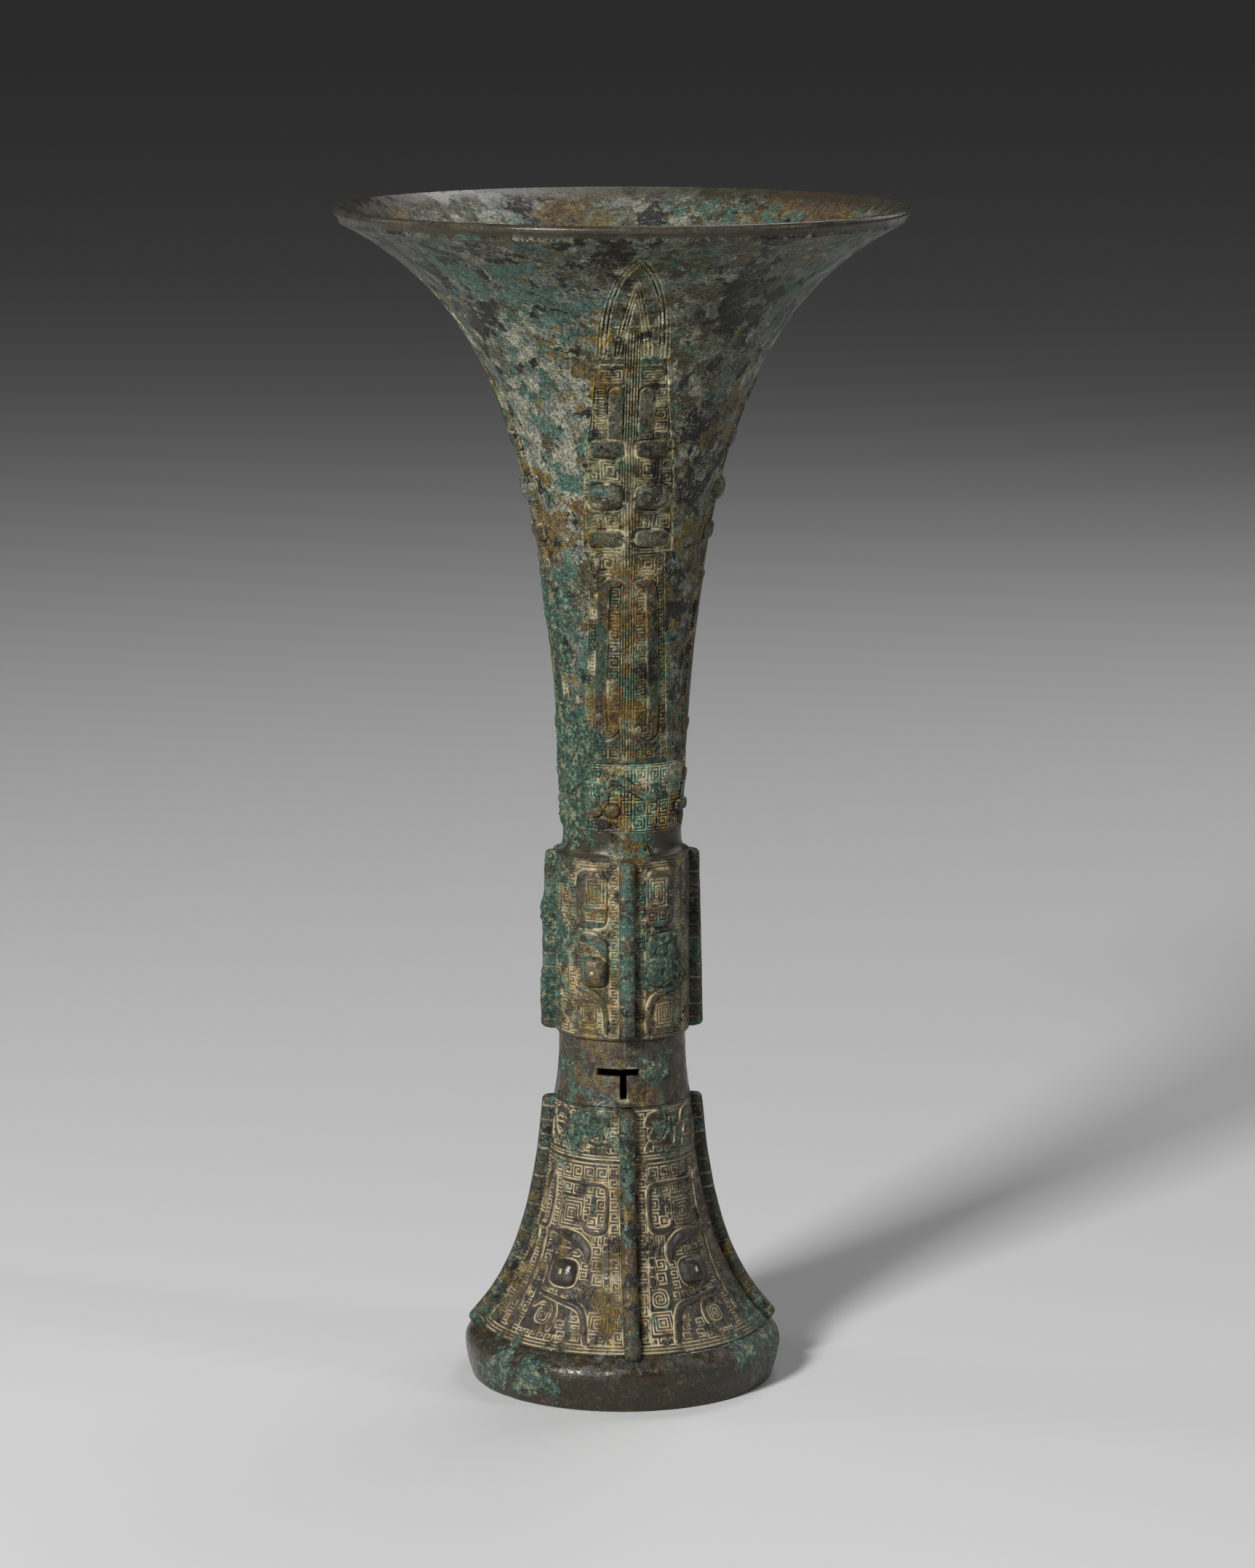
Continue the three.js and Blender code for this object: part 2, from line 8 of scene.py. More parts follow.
import bpy
import numpy as np
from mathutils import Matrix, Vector


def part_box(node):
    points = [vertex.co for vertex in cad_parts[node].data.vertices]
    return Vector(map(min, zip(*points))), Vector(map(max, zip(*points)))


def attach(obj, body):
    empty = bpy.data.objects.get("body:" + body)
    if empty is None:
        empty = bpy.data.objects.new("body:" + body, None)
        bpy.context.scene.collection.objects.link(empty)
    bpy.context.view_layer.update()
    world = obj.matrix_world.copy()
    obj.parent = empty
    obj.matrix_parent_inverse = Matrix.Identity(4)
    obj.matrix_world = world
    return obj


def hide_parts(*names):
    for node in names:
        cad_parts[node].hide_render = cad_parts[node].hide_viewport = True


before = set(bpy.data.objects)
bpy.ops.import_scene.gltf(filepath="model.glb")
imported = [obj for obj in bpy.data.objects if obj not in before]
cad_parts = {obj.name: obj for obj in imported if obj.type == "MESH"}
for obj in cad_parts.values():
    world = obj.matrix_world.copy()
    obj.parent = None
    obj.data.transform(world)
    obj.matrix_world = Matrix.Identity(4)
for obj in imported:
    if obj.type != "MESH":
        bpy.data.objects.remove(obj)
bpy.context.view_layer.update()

MM = 0.001
FACES = {"front": 0, "right": 90, "back": 180, "left": 270}
MASK_FACES = ("front", "back")
HANDS = {"left": -1, "right": 1}

# Curves of the walls: how far the end handles reach, as in the part
NECK_RADIUS = 15.3
NECK_HANDLE = (3.9, 92.0)
MOUTH_HANDLE = (45.3, 22.8)
SKIRT_LOW_HANDLE = (13.4, 14.6)
SKIRT_TOP_HANDLE = (2.1, 28.3)
COLLAR_WAIST = (1.4, 7.0)
COLLAR_STEP = 1.0
WALL = 2.4

# The throat: its lip, the fillet at its foot and its raised band
LIP_RADIUS = 1.15
LIP_DROP = 4.0
LIP_INSET = 1.5
NECK_FILLET = 5.0
BAND_FOOT = 6.6
BAND_HEIGHT = 18.3
BAND_RAISE = 0.15
# The dull front of the smooth neck in degrees: its middle, and how far aside the polish begins and is full
NECK_PATCH = (5, 14, 28)

# The standing ring: how far its foot draws in, its inner edge, its foot's corner, side and shoulder
RING_TAPER = 1.6
RING_INSET = 3.8
RING_CORNER = 1.2
RING_SIDE = 9.4
RING_SHOULDER = (1.4, 12.2)
RING_SHINE = 0.5

# Carving: the pens' widths, and for the fine registers the distance between lines and the outlines' width
BOLD_PEN, BOLD_PITCH = 0.35, 0.88
FINE_PEN = 0.34
FINE = (FINE_PEN, 0.86, 0.50)
THIN_PEN = 0.3
TICK_PEN = 0.28
ARCH_PEN = 0.45
BLOCK_SQUARENESS = 4.5
GROOVE_DEPTH = 0.34
PEN_SOFT = 0.10
# RIDGE_WIDTH: how far beside a groove the ridge is painted paler, partly for wear and partly as a painted
# highlight
RIDGE_WIDTH = 0.45
FLANGE_LINE = 2.35

# Carved plates, and the plain cores under them
PLATE_DEPTH = 1.2
PLATE_LIFT = 0.05
PLATE_GAP = 0.02
BACK_COLUMNS = 9
CORE_SINK = 0.6
CORE_GAP = 0.1
PIT_DEPTH, COLLAR_PIT_DEPTH = 0.12, 0.10

# Flanges: half the thickness, edges, and how far they stand out at the foot and at the top
FLANGE_HALF = 2.0
FLANGE_CORNER = 1.75
FLANGE_ROOT = 0.9
FLANGE_ENDS = 1.5
FLANGE_PEN = 0.36
FLANGE_GROOVE = 0.3
FLANGE_WAVES = 0.22
FLANGE_ROW = 0.24
KNOP_REACH = (3.8, 2.7)
FOOT_REACH = (3.3, 3.1)
FOOT_OVERHANG = 1.6


# Levels and radii, read from the frame


def top_of(node):
    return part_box(node)[1].z / MM


def half_width(node):
    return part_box(node)[1].x / MM


FACET_SHARE = math.cos(math.radians(5))
RING_TOP = top_of("foot_ring")
SKIRT_TOP = top_of("foot_skirt")
COLLAR_TOP = top_of("collar")
KNOP_TOP = top_of("knop_sleeve")
RIM_TOP = top_of("trumpet_mouth")
RIM_RADIUS = half_width("trumpet_mouth")
RING_RADIUS = half_width("foot_ring")
FLARE_RADIUS = half_width("foot_skirt") / FACET_SHARE
KNOP_RADIUS = half_width("knop_sleeve") / FACET_SHARE
FOOT_RADIUS = half_width("collar") / FACET_SHARE
BAND_LOW = KNOP_TOP + BAND_FOOT
BAND_HIGH = BAND_LOW + BAND_HEIGHT


# Curves and walls


def smooth(low, high, x):
    """A soft step from 0 to 1."""
    t = np.clip((x - low) / (high - low), 0, 1)
    return t * t * (3 - 2 * t)


def squared(x, y, power):
    """How far out a point lies, where equal distances form a rounded square."""
    return (np.abs(x) ** power + np.abs(y) ** power) ** (1 / power)


def turned(r, angle, z):
    """Points or directions at a radius, an angle and a height."""
    return np.stack([r * np.sin(angle), -r * np.cos(angle), z + 0 * angle], axis=-1)


def polar(points):
    """Radius and angle of points."""
    return np.hypot(points[:, 0], points[:, 1]), np.arctan2(points[:, 0], -points[:, 1])


def folded(angle, count):
    """Angles from the nearest of some places that are spread evenly round the vessel."""
    half = np.pi / count
    return (angle + half) % (2 * half) - half


def lengths(points):
    """Distances along a line of points."""
    return np.concatenate([[0], np.cumsum(np.hypot(*np.diff(points, axis=0).T))])


def resample(points, step):
    """Points of an outline at about even steps."""
    points = np.asarray(points, float)
    run = lengths(points)
    at = np.linspace(0, run[-1], max(2, int(run[-1] / step) + 1))
    return np.stack([np.interp(at, run, points[:, k]) for k in (0, 1)], 1)


def rounded_ends(run, radius):
    """How far a surface drops towards both ends of its run, where a radius rounds them."""
    edge = np.clip(np.minimum(run - run[0], run[-1] - run), 0, radius)
    return radius - np.sqrt(np.maximum(radius**2 - (radius - edge) ** 2, 0))


def bezier(*points, steps=240):
    """Points of a Bezier curve of any degree."""
    degree = len(points) - 1
    t = np.linspace(0, 1, steps)[:, None]
    shares = [math.comb(degree, k) * t**k * (1 - t) ** (degree - k) for k in range(degree + 1)]
    return sum(share * np.array(point) for share, point in zip(shares, points))


class Wall:
    """An outer wall as a curve of (radius, height), rising."""

    def __init__(self, points):
        self.points = points
        self.r, self.z = points.T
        self.run = lengths(points)
        self.slope = np.gradient(self.r, self.z)

    def radius(self, z):
        return np.interp(z, self.z, self.r)

    def length(self, z):
        return np.interp(z, self.z, self.run)

    def height(self, run):
        return np.interp(run, self.run, self.z)

    def heights(self, low, high, count):
        """Levels at even steps along the wall."""
        return self.height(np.linspace(self.length(low), self.length(high), count))

    def normal(self, z):
        slope = np.interp(z, self.z, self.slope)
        size = np.hypot(1, slope)
        return 1 / size, -slope / size

    def place(self, angle, z):
        """Points of the wall and their normals, one to a row."""
        nr, nz = self.normal(z)
        return turned(self.radius(z), angle, z).reshape(-1, 3), turned(nr, angle, nz).reshape(-1, 3)

    def bore(self, z, depth=WALL):
        """Radius of the inner side of a wall of some thickness."""
        return self.radius(z) - depth / self.normal(z)[0]


class Sheet:
    """A flat stand-in for a wall, where angles are already millimetres."""

    def radius(self, z):
        return 1 + 0 * z

    def length(self, z):
        return z


THROAT_END = (RIM_RADIUS - LIP_INSET, RIM_TOP - LIP_DROP)
throat = Wall(bezier(
    (NECK_RADIUS, KNOP_TOP),
    (NECK_RADIUS + NECK_HANDLE[0], KNOP_TOP + NECK_HANDLE[1]),
    (THROAT_END[0] - MOUTH_HANDLE[0], THROAT_END[1] - MOUTH_HANDLE[1]),
    THROAT_END,
))
skirt = Wall(bezier(
    (FLARE_RADIUS, RING_TOP),
    (FLARE_RADIUS - SKIRT_LOW_HANDLE[0], RING_TOP + SKIRT_LOW_HANDLE[1]),
    (FOOT_RADIUS + SKIRT_TOP_HANDLE[0], SKIRT_TOP - SKIRT_TOP_HANDLE[1]),
    (FOOT_RADIUS, SKIRT_TOP),
))
collar_wall = Wall(bezier(
    (FOOT_RADIUS, SKIRT_TOP),
    (FOOT_RADIUS - COLLAR_WAIST[0], SKIRT_TOP + COLLAR_WAIST[1]),
    (KNOP_RADIUS - COLLAR_STEP, COLLAR_TOP),
))
knop_wall = Wall(bezier((KNOP_RADIUS, COLLAR_TOP), (KNOP_RADIUS, KNOP_TOP)))
band_wall = Wall(throat.points + (BAND_RAISE, 0))
low_end = skirt.points[0] + (skirt.points[0] - skirt.points[1]) * FOOT_OVERHANG / skirt.run[1]
skirt_past_end = Wall(np.vstack([low_end, skirt.points]))


# Noise for corrosion, the same on every run


def lattice_value(ix, iy, iz, seed):
    mixed = ix * 73856093 ^ iy * 19349663 ^ iz * 83492791 ^ seed * 2654435761
    mixed = (mixed ^ (mixed >> 13)) * 1274126177 & 0xFFFFFFFF
    return ((mixed ^ (mixed >> 16)) & 0xFFFF) / 0xFFFF


def value_noise(points, size, seed):
    """Smooth noise from 0 to 1 whose lumps are about size across."""
    scaled = points / size + 1000.0
    cell = np.floor(scaled).astype(np.int64)
    f = smooth(0, 1, scaled - cell)
    total = 0
    for corner in range(8):
        step = np.array([corner & 1, corner >> 1 & 1, corner >> 2])
        weight = np.prod(np.where(step, f, 1 - f), axis=-1)
        total = total + weight * lattice_value(*np.moveaxis(cell + step, -1, 0), seed)
    return total


def rough_noise(points, size, seed, octaves=4):
    total, share = 0, 0.5
    for k in range(octaves):
        total = total + share * value_noise(points, size / 2**k, seed + k)
        share /= 2
    return total / (1 - 0.5**octaves)


# Where the patina lies: spots as (angle, height, reach, strength)
SPOTS = {
    "crust": (
        (-72, 205, 26, 0.8), (-64, 168, 26, 1.0), (-78, 150, 20, 1.0), (-86, 121, 14, 1.0),
        (-90, 102, 14, 0.9), (-38, 70, 13, 0.85), (-16, 65, 8, 0.7), (28, 71, 10, 0.8), (40, 64, 9, 0.8),
        (72, 13, 18, 0.9), (-64, 9, 11, 0.8), (-52, 8, 11, 0.9), (-40, 7, 11, 0.9), (-28, 6, 10, 0.75),
        (-16, 5, 8, 0.55), (34, 112, 15, 1.0), (50, 12, 12, 0.8), (34, 132, 9, 0.6), (27, 88, 10, 0.8),
        (30, 160, 10, 0.65), (-26, 162, 12, 0.7), (-64, 86, 9, 0.75), (-8, 152, 7, 0.5),
        (150, 140, 28, 0.8), (205, 66, 16, 0.8), (118, 220, 26, 0.6), (240, 12, 16, 0.9),
        (160, 11, 14, 0.8),
    ),
    "green": (
        (-52, 297, 17, 1.0), (-28, 292, 14, 0.9), (54, 293, 15, 1.0), (66, 284, 14, 0.9),
        (-62, 262, 16, 0.6), (-72, 190, 26, 0.9), (-20, 245, 16, 0.5), (37, 160, 16, 0.7),
        (-28, 163, 14, 0.8), (-62, 88, 12, 0.8), (12, 190, 14, 0.6), (34, 120, 24, 0.9),
        (-76, 118, 22, 0.9), (-35, 70, 16, 0.8), (35, 68, 16, 0.9), (150, 280, 40, 0.7),
        (200, 190, 40, 0.7), (180, 70, 30, 0.7), (110, 120, 26, 0.6), (10, 118, 20, 0.35),
        (-15, 56, 12, 0.4),
    ),
    # dark spots are dark patina, except those on the flare's upper left near (-60, 286), where it faces down,
    # and on its right at (44, 244), which are painted shade
    "dark_patina_and_shade": (
        (36, 285, 13, 1.0), (30, 297, 12, 0.9), (-8, 303, 14, 0.5), (-30, 146, 8, 1.0), (45, 145, 9, 1.0),
        (60, 200, 24, 0.7), (70, 130, 20, 0.9), (-28, 137, 7, 0.9), (30, 40, 40, 0.5), (100, 250, 40, 0.6),
        (230, 250, 40, 0.6), (-52, 302, 13, 0.6), (201, 305, 8, 0.8), (171, 304, 7, 0.8),
        (250, 304, 34, 0.8), (-64, 299, 18, 0.8), (-40, 302, 14, 0.6), (44, 244, 15, 0.65),
        (33, 256, 12, 0.7), (-60, 286, 14, 0.7), (62, 291, 14, 0.6),
    ),
    "ochre": (
        (6, 205, 14, 1.0), (-45, 231, 14, 0.9), (54, 223, 14, 0.9), (55, 257, 12, 0.8), (-15, 272, 14, 0.6),
        (0, 182, 16, 0.9), (-20, 150, 9, 0.9), (0, 143, 7, 1.0), (-30, 128, 10, 0.7), (-28, 86, 12, 0.8),
        (22, 81, 6, 1.0), (-9, 22, 9, 0.9), (-8, 36, 8, 0.8), (-6, 50, 9, 0.6), (140, 200, 40, 0.6),
        (220, 130, 24, 0.6), (90, 30, 20, 0.5), (270, 30, 20, 0.5), (190, 305, 11, 1.4),
        (125, 305, 26, 1.4), (240, 305, 22, 0.7), (-40, 150, 12, 0.8), (44, 150, 12, 0.8),
        (4, 152, 12, 0.9), (-36, 108, 14, 0.6),
    ),
    "pale": (
        (-36, 276, 15, 0.7), (-63, 255, 18, 0.9), (75, 268, 14, 0.9), (-20, 262, 12, 0.7),
        (-50, 240, 14, 0.9), (-44, 258, 13, 0.7), (60, 240, 12, 0.5), (160, 262, 40, 0.7),
        (210, 285, 30, 0.6), (-10, 30, 12, 0.5), (165, 304, 16, 0.5),
    ),
}
SPOT_SPREAD = 0.6
SPOT_WARP_SIZE, SPOT_WARP = 9.0, 6.0
CRUST_EDGE = (0.38, 0.84)
CRUST_HEIGHT = 1.3
# How much of the earth in a line, and of the relief, the crust hides
CRUST_COVER, CRUST_LEVEL = 0.7, 0.55


def warped(points):
    """Points moved about by noise, so that round spots turn ragged."""
    shifts = [rough_noise(points, SPOT_WARP_SIZE, 61 + 10 * k, 2) - 0.5 for k in range(3)]
    return points + 2 * SPOT_WARP * np.stack(shifts, -1)


def spots_at(points, spots):
    """The strongest of some soft spots at points."""
    r, angle = polar(points)
    weight = np.zeros(len(points))
    for degrees, z, reach, strength in spots:
        aside = folded(angle - math.radians(degrees), 1) * r
        d2 = aside**2 + (points[:, 2] - z) ** 2
        weight = np.maximum(weight, strength * np.exp(-d2 / (SPOT_SPREAD * reach**2)))
    return weight


def patina_at(points):
    """The patina at points of the plain walls, with some painted shade in its dark region: the weight of each
    region, and how proud the crust stands.
    """
    moved = warped(points)
    tones = {region: spots_at(moved, spots) for region, spots in SPOTS.items()}
    weight = tones["crust"]
    ragged = 0.7 * rough_noise(points, 5.0, 11, 5) + 0.5 * rough_noise(points, 1.5, 13, 3) - 0.6
    crust = smooth(*CRUST_EDGE, weight + ragged)
    lumps = 0.9 * rough_noise(points, 3.4, 23, 3) + 0.5 * rough_noise(points, 0.9, 31, 2) - 0.45
    tones["crust"] = crust
    return tones, CRUST_HEIGHT * crust * (0.4 + weight**2) * np.maximum(lumps, 0.05)


def pits_at(points, depth):
    return depth * smooth(0.62, 0.8, rough_noise(points, 4.0, 47, 3))


# Meshes from rings of points

# The part of the bake's map that a capped piece's quads take, under its caps
QUADS_BOX = (0.01, 0.01, 0.99, 0.93)


def ring_faces(rows, columns):
    """Quads between closed rings that face out where columns run right and rows run up."""
    i, j = np.arange(rows - 1)[:, None], np.arange(columns)
    a, b = i * columns + j, i * columns + (j + 1) % columns
    return np.stack([a, b, b + columns, a + columns], axis=-1).reshape(-1, 4)


def grid_map(across, up, box, strips=1):
    """Corner places on the bake's map for a grid's quads, inside box, as strips side by side.

    across and up are the columns' and the rows' places from 0 to 1.
    """
    x0, y0, x1, y1 = box
    quads = len(up) - 1
    strip = np.arange(quads) * strips // quads
    first = np.searchsorted(strip, np.arange(strips))
    last = np.append(first[1:], quads)
    low, span = up[first][strip], (up[last] - up[first])[strip]
    bottom, top = (up[:-1] - low) / span, (up[1:] - low) / span
    width = (x1 - x0) / strips
    left, right = (x0 + width * (strip[:, None] + 0.98 * ends) for ends in (across[:-1], across[1:]))
    bottom, top = (y0 + (y1 - y0) * v[:, None] + 0 * left for v in (bottom, top))
    corners = np.stack([left, bottom, right, bottom, right, top, left, top], axis=-1)
    return corners.reshape(-1, 4, 2)


def add_piece(name, points, quads, quad_map, finish, nodes, caps=(), cap_maps=(), **values):
    """A smooth piece from points in millimetres, quads, flat caps and values for its material."""
    mesh = bpy.data.meshes.new(name)
    corners = np.concatenate([quads.ravel(), *caps]).astype(np.int32)
    sizes = np.concatenate([np.full(len(quads), 4), [len(cap) for cap in caps]]).astype(np.int32)
    mesh.vertices.add(len(points))
    mesh.vertices.foreach_set("co", (points * MM).astype(np.float32).ravel())
    mesh.loops.add(len(corners))
    mesh.loops.foreach_set("vertex_index", corners)
    mesh.polygons.add(len(sizes))
    starts = np.concatenate([[0], np.cumsum(sizes)[:-1]])
    mesh.polygons.foreach_set("loop_start", starts.astype(np.int32))
    mesh.polygons.foreach_set("use_smooth", np.ones(len(sizes), bool))
    uv = np.concatenate([quad_map.reshape(-1, 2), *cap_maps])
    mesh.uv_layers.new(name="OFBake").uv.foreach_set("vector", uv.astype(np.float32).ravel())
    for key, value in values.items():
        layer = mesh.attributes.new(key, "FLOAT", "POINT")
        layer.data.foreach_set("value", np.asarray(value, np.float32).ravel())
    mesh.update(calc_edges=True)
    material, slot = finish
    mesh.materials.append(material)
    piece = bpy.data.objects.new(name, mesh)
    bpy.context.collection.objects.link(piece)
    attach(piece, "root")
    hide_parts(*nodes)


def add_tube(name, rings, quad_map, foot_map, top_map, finish, nodes, **values):
    """A piece of closed rings, rising, with a cap at both ends. The caps' maps follow the rings."""
    rows, columns = rings.shape[:2]
    ring = np.arange(columns)
    caps = [ring[::-1], (rows - 1) * columns + ring]
    add_piece(name, rings.reshape(-1, 3), ring_faces(rows, columns), quad_map, finish, nodes,
              caps, [foot_map[::-1], top_map], **values)


# Materials


class Patina:
    """A material under way, with shorthand for the nodes that a patina is made of."""

    def __init__(self, name):
        self.material = bpy.data.materials.new(name)
        self.material.use_nodes = True
        self.tree = self.material.node_tree
        self.shader = self.tree.nodes["Principled BSDF"]
        place = self.node("ShaderNodeVectorMath", operation="SCALE")
        self.feed(place.inputs[0], self.node("ShaderNodeTexCoord").outputs["Object"])
        place.inputs["Scale"].default_value = 1 / MM
        self.place = place.outputs[0]

    def node(self, kind, **settings):
        node = self.tree.nodes.new(kind)
        for key, value in settings.items():
            setattr(node, key, value)
        return node

    def feed(self, socket, value):
        if isinstance(value, bpy.types.NodeSocket):
            self.tree.links.new(value, socket)
        elif isinstance(value, tuple):
            socket.default_value = (*value, 1)
        else:
            socket.default_value = value

    def noise(self, size, seed, detail=5.0, rough=0.6):
        shift = self.node("ShaderNodeVectorMath", operation="ADD")
        self.feed(shift.inputs[0], self.place)
        shift.inputs[1].default_value = (310.7 * seed, 170.3 * seed, 530.9 * seed)
        node = self.node("ShaderNodeTexNoise")
        self.feed(node.inputs["Vector"], shift.outputs[0])
        for key, value in (("Scale", 1 / size), ("Detail", detail), ("Roughness", rough)):
            node.inputs[key].default_value = value
        return node.outputs[0]

    def value(self, name):
        return self.node("ShaderNodeAttribute", attribute_name=name).outputs["Fac"]

    def math(self, operation, a, b):
        node = self.node("ShaderNodeMath", operation=operation)
        self.feed(node.inputs[0], a)
        self.feed(node.inputs[1], b)
        return node.outputs[0]

    def times(self, a, b):
        return self.math("MULTIPLY", a, b)

    def plus(self, a, b):
        return self.math("ADD", a, b)

    def ramp(self, value, low, high, to_low=0.0, to_high=1.0):
        node = self.node("ShaderNodeMapRange", interpolation_type="SMOOTHSTEP")
        for key, given in enumerate((value, low, high, to_low, to_high)):
            self.feed(node.inputs[key], given)
        return node.outputs[0]

    def mix(self, share, a, b, blend="MIX"):
        node = self.node("ShaderNodeMix", data_type="RGBA", blend_type=blend)
        for key, given in ((0, share), (6, a), (7, b)):
            self.feed(node.inputs[key], given)
        return node.outputs[2]

    def shade(self, share, colour, tone):
        return self.mix(share, colour, tone, "MULTIPLY")

    def patch(self, base, colour, region, size, seed, level):
        """Lays a ragged patch of colour where noise, helped by a region's weight, passes a level."""
        helped = self.plus(self.noise(size, seed, 9.0, 0.64), self.times(self.value(region), 0.2))
        return self.mix(self.ramp(helped, level, level + 0.025), base, colour)

    def specks(self, size, seed, low, high, cluster_size):
        """Small grains that gather in clusters."""
        cluster = self.ramp(self.noise(cluster_size, seed + 1, 5.0, 0.65), 0.40, 0.60)
        return self.times(self.ramp(self.noise(size, seed, 3.0, 0.75), low, high), cluster)


GREY_GREEN = (0.088, 0.093, 0.064)
BLUE_GREY = (0.088, 0.098, 0.085)
OLIVE = (0.036, 0.032, 0.017)
DARK_TONE_AND_SHADE = (0.008, 0.0075, 0.0065)
BROWN = (0.052, 0.036, 0.019)
TEAL = (0.036, 0.071, 0.053)
OCHRE = (0.085, 0.058, 0.013)
RUST = (0.062, 0.034, 0.016)
SILVER = (0.160, 0.160, 0.118)
CREAM = (0.430, 0.350, 0.215)
MINT = (0.135, 0.225, 0.165)
MOSS = (0.014, 0.034, 0.023)
LICHEN = (0.200, 0.195, 0.115)
# How much darker the ground of a blade is, and how much paler a ridge beside a groove is painted: partly
# wear, partly a painted highlight
BLADE_SHADE = (0.52, 0.48, 0.42)
RIDGE_WEAR_AND_HIGHLIGHT = (4.2, 4.0, 3.4)

# Patches of the patina from the lowest up: colour, region that helps it and size
MOTTLES = (
    (BLUE_GREY, "pale", 11.0),
    (SILVER, "pale", 5.5),
    (OCHRE, "ochre", 5.0),
    (RUST, "ochre", 2.2),
    (TEAL, "green", 6.5),
    # the dark patches are dark patina, and painted shade where the dark region holds painted-shade spots;
    # this dark tone also paints the shade in grooves without earth
    (DARK_TONE_AND_SHADE, "dark_patina_and_shade", 6.0),
)


def minerals(p, grain):
    """The colour of the crust, from moss to mint with olive and lichen in it."""
    swell = p.noise(1.5, 31, 7.0, 0.7)
    colour = p.mix(p.ramp(swell, 0.38, 0.52), MOSS, TEAL)
    colour = p.mix(p.ramp(swell, 0.52, 0.64), colour, MINT)
    colour = p.mix(p.ramp(p.noise(3.0, 35, 7.0, 0.7), 0.52, 0.60, 0.0, 0.8), colour, LICHEN)
    colour = p.mix(p.ramp(p.noise(1.8, 32, 8.0, 0.7), 0.54, 0.60), colour, OLIVE)
    return p.shade(1.0, colour, p.ramp(grain, 0.30, 0.70, 0.35, 1.65))


def bronze(name, ground, second, bare, fill, fill_level, roughness, specular, speckle, wear_and_highlight, levels):
    """Bronze with a mottled patina, grooves filled with earth or painted dark as shade, and a granular crust.

    ground and second are the main tones, bare is the smooth metal, and fill is the earth, which a lower
    fill_level leaves in more of the grooves; the other grooves are painted dark as shade. speckle is how
    grainy the tones are, and wear_and_highlight how much paler the ridges are painted, partly for wear and
    partly as a painted highlight. Each level is where a patch begins: a lower one shows more.
    """
    p = Patina(name)
    oxide = p.ramp(p.noise(6.0, 1, 9.0, 0.66), 0.46, 0.54)
    colour = p.mix(oxide, ground, second)
    for seed, ((tone, region, size), level) in enumerate(zip(MOTTLES, levels), 2):
        colour = p.patch(colour, tone, region, size, seed, level)
    for size, seed, strength in ((2.4, 21, 0.35 * speckle), (0.6, 22, 0.75 * speckle)):
        shade = p.ramp(p.noise(size, seed, 4.0, 0.75), 0.32, 0.68, 1 - strength, 1 + strength)
        colour = p.shade(1.0, colour, shade)
    colour = p.mix(p.times(p.specks(0.8, 23, 0.54, 0.62, 9.0), 0.8 * speckle), colour, SILVER)
    colour = p.mix(p.times(p.specks(1.1, 25, 0.55, 0.62, 7.0), 0.85), colour, DARK_TONE_AND_SHADE)
    colour = p.shade(p.value("ground"), colour, BLADE_SHADE)
    # smooth places
    polish = p.ramp(p.plus(p.value("polish"), p.noise(2.5, 27, 6.0, 0.7)), 0.62, 1.2)
    colour = p.mix(p.times(polish, 0.85), colour, bare)
    # ridges painted paler, partly for wear and partly as a painted highlight; sunk lines painted dark as
    # shade, or holding earth
    worn = p.ramp(p.noise(4.0, 36, 5.0, 0.7), 0.40, 0.62, 0.5 * wear_and_highlight, wear_and_highlight)
    colour = p.shade(p.times(p.value("ridge"), worn), colour, RIDGE_WEAR_AND_HIGHLIGHT)
    stained = p.plus(p.noise(5.0, 28), p.times(p.value("ochre"), 0.2))
    earth = p.mix(p.ramp(stained, 0.46, 0.70), fill, OCHRE)
    held = p.ramp(p.noise(6.0, 29, 6.0, 0.7), fill_level, fill_level + 0.12)
    colour = p.mix(p.times(p.value("fill"), 0.94), colour, p.mix(held, DARK_TONE_AND_SHADE, earth))
    # crust
    grain = p.noise(0.8, 30, 4.0, 0.8)
    scattered = p.ramp(p.noise(0.9, 33, 6.0, 0.75), 0.30, 0.70)
    crust = p.ramp(p.plus(p.value("crust"), scattered), 0.92, 1.12)
    colour = p.mix(p.times(crust, 0.94), colour, minerals(p, grain))
    p.feed(p.shader.inputs["Base Color"], colour)
    # gloss: dark places, patina and painted shade alike, and smooth places shine; earth and crust don't
    rough = p.plus(p.times(oxide, 0.18), roughness)
    rough = p.times(rough, p.ramp(p.math("MAXIMUM", polish, p.value("dark_patina_and_shade")), 0.0, 1.0, 1.0, 0.55))
    rough = p.plus(rough, p.times(p.math("MAXIMUM", p.value("fill"), crust), 0.3))
    p.feed(p.shader.inputs["Roughness"], rough)
    p.shader.inputs["Metallic"].default_value = 0.1
    p.shader.inputs["Specular IOR Level"].default_value = specular
    # fine grain
    height = p.times(p.noise(0.7, 34, 4.0, 0.7), p.plus(p.times(oxide, 0.7), 0.4))
    height = p.times(height, p.math("SUBTRACT", 1.0, p.times(polish, 0.85)))
    height = p.plus(height, p.times(crust, p.times(grain, 2.0)))
    bump = p.node("ShaderNodeBump")
    bump.inputs["Strength"].default_value = 0.9
    bump.inputs["Distance"].default_value = 0.4 * MM
    p.feed(bump.inputs["Height"], height)
    p.feed(p.shader.inputs["Normal"], bump.outputs[0])
    return p.material


